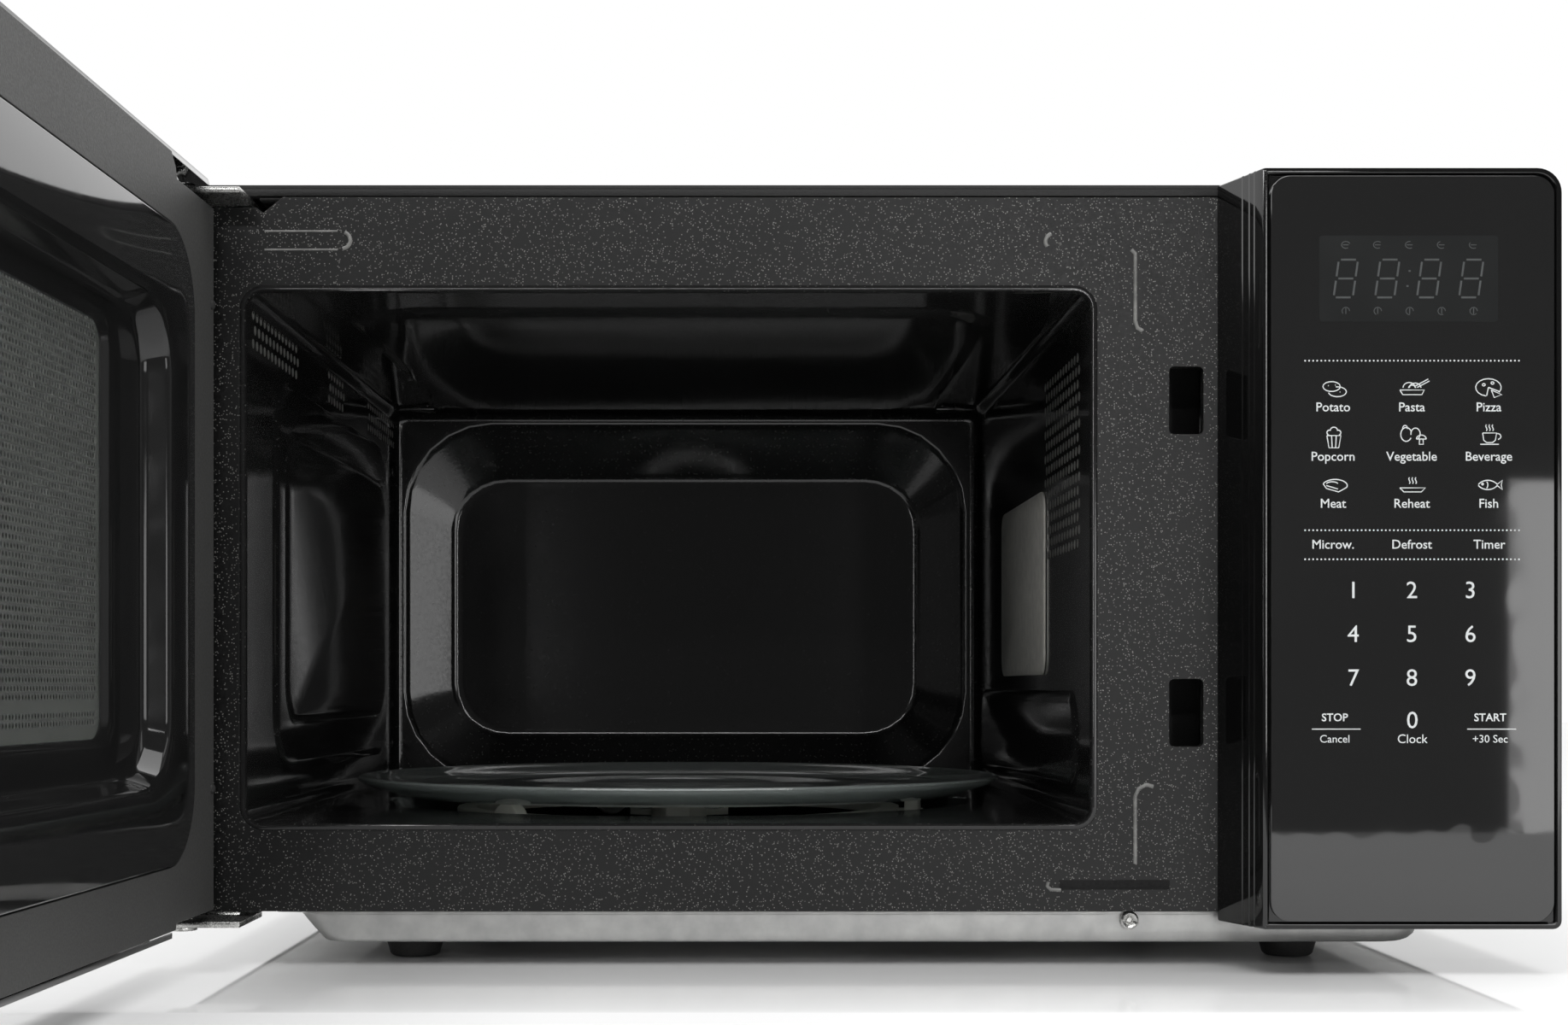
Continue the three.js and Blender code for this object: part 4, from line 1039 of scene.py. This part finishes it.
def makeDoorPanel():
    (x0, x1), (z0, z1) = doorSize["x"], doorSize["z"]
    ringX, ringZ, ringRadius, depth = (doorSize[k] for k in ("ringX", "ringZ", "ringRadius", "depth"))
    # rim with cut corners for the hinge brackets, a stepped lower lip and two hook slots
    edge = [(x0 + 50, z0), (x1 - 2, z0), (x1, z0 + 2), (x1, z1 - 2), (x1 - 2, z1), (x0 + 50, z1),
            (x0 + 45, 271.2), (x0 + 44, 268.0), (x0, 268.0), (x0, 20.5), (x0 + 44.4, 20.5), (x0 + 45.4, z0)]
    ring = roundedOutline(ringX, ringZ, ringRadius, 8)
    slotX = (111.2, 124.3)
    slotZ = [(low - 3, low + latchSlots["height"] + 3) for low in latchSlots["bottoms"]]
    slots = [roundedOutline(slotX, z, 2.0, 3) for z in slotZ]
    rim = flatPlate("door_rim", [edge, ring] + slots, 1.2, 0.25, upright(-2.6))
    returns = [loft("hook_slot_return", [roundedLoop(slotX, z, 2.0, y, 3) for y in (-3.0, -6.4)])
               for z in slotZ]
    # the tray behind the ring, with a border that frames the pierced sheet
    tray = loft("door_tray", [roundedLoop(ringX, ringZ, ringRadius, y, 8) for y in (-3.1, depth)])
    back = flatPlate("door_tray_back", [ring, roundedOutline((-162, 48), (79, 217), 5, 3)], 0.6, 0.0,
                     upright(depth - 0.3))
    place(joined("door_rim_panel", [rim, back] + [tidyNormals(p) for p in [tray] + returns]), doorPaint,
          "door", ("door_metal_panel",), True, smooth=40)

    # rubber buffers on the hinge edge
    buffer = turnedCell("buffer_cell", ((0, 1.3), (1.0, 1.15), (1.7, 0.6), (1.9, -0.2)), 12)
    buffer.data.transform(Matrix.Rotation(math.radians(-90), 4, "X"))
    dots = onPoints("door_buffers", buffer, [(-238.4, -2.0, 233.6), (-238.4, -2.0, 63.2)], footRubber)
    removed(buffer)
    place(dots, footRubber, "door", (), True)


screenSize = {"pitch": 2.5, "columns": 80, "rows": 48, "hole": 0.96, "middle": -57.0, "top": 215.0,
              "gap": 3.0, "depth": -16}


# Square cell of sheet with an eight-sided hole whose lip is punched down.
def piercedCell(pitch, radius):
    half = pitch / 2
    outer = [(half, 0), (half, half), (0, half), (-half, half), (-half, 0), (-half, -half), (0, -half),
             (half, -half)]

    def ring(r, depth):
        return [(u, v, depth) for u, v in arc(0, 0, r, r, steps=8)[:8]]

    vertices = [(u, v, 0) for u, v in outer] + ring(radius + 0.16, 0) + ring(radius, -0.35)
    faces = [(k + i, k + (i + 1) % 8, k + 8 + (i + 1) % 8, k + 8 + i) for k in (0, 8) for i in range(8)]
    return meshObject("pierced_cell", vertices, faces)


def makeScreen():
    pitch, columns, rows = screenSize["pitch"], screenSize["columns"], screenSize["rows"]
    x, y, top = screenSize["middle"], screenSize["depth"], screenSize["top"]
    cell = piercedCell(pitch, screenSize["hole"])
    main = onGrid("screen_field", cell, columns, rows, (pitch, pitch), screenSheenSteel,
                  (x, top - rows * pitch / 2), pitch / 2, upright(y))
    # two more rows stand apart below the field
    low = top - rows * pitch - screenSize["gap"]
    rowsBelow = onGrid("screen_rows", cell, columns, 2, (pitch, pitch), screenSheenSteel, (x, low - pitch), 0,
                       upright(y))
    removed(cell)
    half = (columns - 1) * pitch / 2
    blank = flatPlate("screen_border", [
        roundedOutline((-164, 50), (76.5, 219.5), 4, 3),
        [(x - half, top - rows * pitch), (x + half, top - rows * pitch), (x + half, top), (x - half, top)],
        [(x - half, low - 2 * pitch), (x + half, low - 2 * pitch), (x + half, low), (x - half, low)]],
        0.1, 0, upright(y + 0.05))
    # the screen's grey is a painted sheen over dark steel
    place(joined("door_screen_sheet", [main, rowsBelow, blank]), screenSheenSteel, "door", (), True)


chokeSize = {"x": (-217, 103), "z": (40, 252), "face": -1.6}


def makeChokeCover():
    (x0, x1), (z0, z1), face = chokeSize["x"], chokeSize["z"], chokeSize["face"]
    # (inset, depth, corner radius): edge, flat band, long fillet, steep wall, fillet to the ledge
    stepsIn = ((0.0, 1.6, 27), (0.0, 0.5, 27), (0.2, 0.12, 26.8), (0.7, 0, 26.3), (22.5, 0.05, 24),
               (24.2, 0.35, 23.5), (25.4, 1.0, 23), (26.3, 2.0, 22.6), (26.5, 2.5, 22.5), (28.4, 7.3, 21.5),
               (28.6, 7.8, 21.4), (29.2, 9.0, 21), (30.3, 9.9, 20.4), (31.8, 10.25, 19.6))
    # (x, z, corner radius, depth): ledge, then the second step down to the window
    window = (((-176, 62), (73.5, 223), 15, 10.5), ((-166, 52), (77, 219.4), 12, 11.0),
              ((-163, 49), (79.4, 217.2), 10.4, 11.25), ((-161.4, 47.4), (81, 215.8), 9.6, 11.9),
              ((-160, 46), (82.2, 214.6), 8.8, 13.4), ((-158.7, 44.7), (82.9, 213.6), 8, 13.9))
    loops = [roundedLoop((x0 + inset, x1 - inset), (z0 + inset, z1 - inset), radius, face - depth, 18)
             for inset, depth, radius in stepsIn]
    loops += [roundedLoop(x, z, radius, face - depth, 18) for x, z, radius, depth in window]
    cover = loft("choke_cover_ring", loops)
    place(tidyNormals(cover), satinBlack, "door", ("door_choke_cover",), True,
          smooth=50)


def makeDoorFront():
    softened("door_outer_frame", pianoBlack, 0.7, 3)
    softened("door_glass", doorGlassTint, 0.6, 2)
    # black ceramic border printed on the back of the glass
    border = flatPlate("glass_border_print", [roundedOutline((-232, 118), (25.5, 266.5), 3, 3),
                                              roundedOutline((-172, 58), (72, 226), 8, 5)],
                       0.12, 0, upright(-23.5))
    place(border, blackInk, "door", (), True)
    softened("latch_hooks", texturedBlack, 0.5)
    for node in ("upper_hinge_bracket", "lower_hinge_bracket", "upper_hinge_pin", "lower_hinge_pin"):
        softened(node, zincPlate, 0.25)


makeDoorPanel()
makeScreen()
makeChokeCover()
makeDoorFront()
print("door made")


# Cabinet outside.

coverSize = {"half": 241.5, "top": 278.2, "bottom": 17.0, "depth": 361.0, "sheet": 1.2, "fold": 3.0,
             "ventPitch": 12}


def makeCover():
    half, top, bottom = coverSize["half"], coverSize["top"], coverSize["bottom"]
    depth, sheet, fold = coverSize["depth"], coverSize["sheet"], coverSize["fold"]
    pitch = coverSize["ventPitch"]
    # (y, z, width, height) of each vent slot
    rightVents = [(236 + pitch * k, 170, 4, 40) for k in range(8)]
    leftVents = [(60 + pitch * k, 227.5, 4, 25) for k in range(6)]
    outlineTop = [(-half + fold, 0), (half - fold, 0), (half - fold, depth), (-half + fold, depth)]
    parts = [flatPlate("cover_top", [outlineTop], sheet, 0.0, facingUp(top - sheet / 2))]
    for side, holes in ((1, rightVents), (-1, leftVents)):
        sideEdge = [(0, bottom), (depth, bottom), (depth, top - fold), (0, top - fold)]
        slots = [roundedOutline((u - w / 2, u + w / 2), (v - h / 2, v + h / 2), 1.9, 4)
                 for u, v, w, h in holes]
        middle = side * (half - sheet / 2)
        parts.append(flatPlate("cover_side", [sideEdge] + slots, sheet, 0.0, facingRight(middle)))
        # the fold's section: its outer arc, then its inner arc backwards
        cx, cz, inner = side * (half - fold), top - fold, fold - sheet
        section = (arc(cx, cz, side * fold, fold, 0, 90, 6)
                   + arc(cx, cz, side * inner, inner, 0, 90, 6)[::-1])
        folds = [[Vector((px, y, pz)) for px, pz in section] for y in (0, depth)]
        parts.append(tidyNormals(loft("cover_fold", folds, True, True)))
    parts.append(box("cover_lip", (-half + sheet, half - sheet), (0.0, 9), (274.3, 277.2), 0.6))
    place(joined("cover_shell", parts), powderCoat, "root", ("outer_cover",), smooth=40)


def makeRear():
    front, sheet = 358.5, 1.2
    edge = roundedOutline((-239.9, 239.9), (19.2, 276.6), 1.5, 2)
    vents = [slotOutline(172, 152 + 9 * k, 80, 4) for k in range(9)]
    vents += [slotOutline(-120 + 22 * i, 60 + 9 * k, 16, 3.6) for i in range(6) for k in range(3)]
    gland = arc(205, 42, 6.2, 6.2, steps=24)[:24]
    back = flatPlate("rear_sheet", [edge] + vents + [gland], sheet, 0.2, upright(front + sheet / 2))
    turned = Matrix(((-1, 0, 0, 0), (0, 0, 1, front + sheet), (0, 1, 0, 0), (0, 0, 0, 1)))
    ribs = [tidyNormals(embossedField("rear_rib", (u - 90, u + 90), (v - 5, v + 5), 5, turned, 0.6, 2.4))
            for u, v in ((100, 250), (100, 150), (-100, 250), (100, 120))]
    place(joined("rear_sheet_pressed", [back] + ribs), galvanisedSteel, "root",
          ("rear_panel",), smooth=40)
    for side in ("left", "right"):
        softened("cover_screw_" + side, zincPlate, 0.3)
        softened("foot_front_" + side, footRubber, 0.5)
        softened("foot_rear_" + side, footRubber, 0.5)
    softened("cord_gland", texturedBlack, 0.5)


def makeBase():
    # (height, left, right, front, rear) of the tray's wall: a straight slope on the left, round elsewhere
    steps = ((7.5, -190.5, 196.0, 6.0, 351.5), (7.75, -191.4, 198.2, 5.1, 352.6),
             (8.6, -192.3, 200.6, 4.5, 353.4), (10.2, -193.6, 202.4, 4.1, 353.9),
             (12.6, -195.8, 203.5, 4.0, 354.0), (17.6, -200.0, 203.9, 4.0, 354.0))
    loops = [[Vector((p.x, p.z, z)) for p in roundedLoop((xa, xb), (ya, yb), 9, 0, 5)]
             for z, xa, xb, ya, yb in steps]
    walls = tidyNormals(loft("base_walls", loops))
    rim = [(p.x, p.y) for p in loops[0]]
    slots = []
    for x0, count in ((-178, 3), (-138, 4), (8, 5)):
        slots += [roundedOutline((x0 + 11.5 * i, x0 + 11.5 * i + 8), (14 + 21 * k, 14 + 21 * k + 13), 1.8, 2)
                  for i in range(count) for k in range(5)]
    slots += [roundedOutline((110, 150), (180 + 10 * i, 184 + 10 * i), 1.9, 3) for i in range(8)]
    floor = flatPlate("base_floor", [rim] + slots, 0.8, 0.0, facingUp(7.9))
    flange = flatPlate("base_flange", [
        [(-209, 13.5), (239.9, 13.5), (239.9, 358.2), (-239.9, 358.2), (-239.9, 18.2), (-209, 18.2)],
        [(p.x, p.y) for p in reversed(loops[-1])]], 1.2, 0.1, facingUp(18.0))
    facingDown = Matrix(((1, 0, 0, 0), (0, 1, 0, 0), (0, 0, -1, 7.5), (0, 0, 0, 1)))
    rib = tidyNormals(embossedField("base_rib", (-100, -20), (170, 330), 12, facingDown, -1.2, 5))
    place(joined("base_tray", [walls, floor, flange, rib]), galvanisedSteel, "root",
          ("base_plate",), smooth=40)
    screwHead = [(0, 0), (0.8, 0), (1.0, -0.4), (2.6, -1.5), (3.2, -0.9), (3.3, 0.3), (0, 0.3)]
    screw = turnedShape("base_front_screw", screwHead, (0, 0, 0), 24)
    screw.data.transform(Matrix.Translation((98, 2.8, 15.6)) @ Matrix.Rotation(math.radians(-90), 4, "X"))
    place(tidyNormals(screw), zincPlate, "root")


makeCover()
makeRear()
makeBase()
print("cabinet made")


# Finishes of the CAD nodes.

nodeFinishes = {
    "cord_gland": texturedBlack, "display_module": texturedBlack, "control_board": boardGreen,
    "power_relay": texturedBlack, "board_transformer": coreIron, "waveguide": galvanisedSteel,
    "waveguide_cover": micaSheet, "cavity_liner": speckledEnamel, "front_frame": speckledEnamel,
    "outer_cover": powderCoat, "rear_panel": galvanisedSteel, "base_plate": galvanisedSteel,
    "magnetron_core": drawnAluminium, "magnetron_yoke": galvanisedSteel,
    "magnetron_filter_box": galvanisedSteel,
    "transformer_core": coreIron, "primary_winding": copperWire, "secondary_winding": copperWire,
    "hv_capacitor": drawnAluminium, "capacitor_clamp": galvanisedSteel, "hv_diode": texturedBlack,
    "fan_duct": texturedBlack, "fan_motor": coreIron, "fan_blade": whiteResin, "lamp_holder": whiteResin,
    "lamp_bulb": clearGlass, "line_filter": boardGreen, "thermal_cutout": texturedBlack,
    "turntable_motor": galvanisedSteel, "drive_coupler": whiteResin, "roller_ring": whiteResin,
    "glass_plate": clearGlass, "interlock_bracket": texturedBlack, "upper_switch": texturedBlack,
    "monitor_switch": texturedBlack, "lower_switch": texturedBlack, "interlock_lever": whiteResin,
    "upper_hinge_bracket": zincPlate, "lower_hinge_bracket": zincPlate, "upper_hinge_pin": zincPlate,
    "lower_hinge_pin": zincPlate, "door_outer_frame": pianoBlack, "door_glass": doorGlassTint,
    "door_metal_panel": doorPaint, "door_choke_cover": satinBlack, "door_inner_film": clearFilm,
    "latch_hooks": texturedBlack, "latch_spring": zincPlate, "control_panel_housing": pianoBlack,
    "control_panel_overlay": pianoBlack, "display_window": displayLens}


# Parts inside that only need broken edges.
def makeInside():
    for node, width in (("magnetron_filter_box", 0.8), ("transformer_core", 0.6), ("primary_winding", 1.6),
                        ("secondary_winding", 1.6), ("hv_capacitor", 0.8), ("waveguide", 0.5),
                        ("lamp_holder", 0.6), ("interlock_bracket", 0.4), ("interlock_lever", 0.5),
                        ("upper_switch", 0.4), ("monitor_switch", 0.4), ("lower_switch", 0.4),
                        ("power_relay", 0.5), ("board_transformer", 0.6), ("turntable_motor", 0.6),
                        ("fan_duct", 0.4)):
        softened(node, nodeFinishes[node], width)


makeInside()
print("inside parts made")


def finishNodes():
    for name, node in frame["nodes"].items():
        material = nodeFinishes.get(name)
        if name.startswith("foot_"):
            material = footRubber
        elif name.startswith("cover_screw"):
            material = zincPlate
        elif name.startswith("roller_"):
            material = whiteResin
        node.data.materials.clear()
        node.data.materials.append(material)


finishNodes()
print("node finishes set")
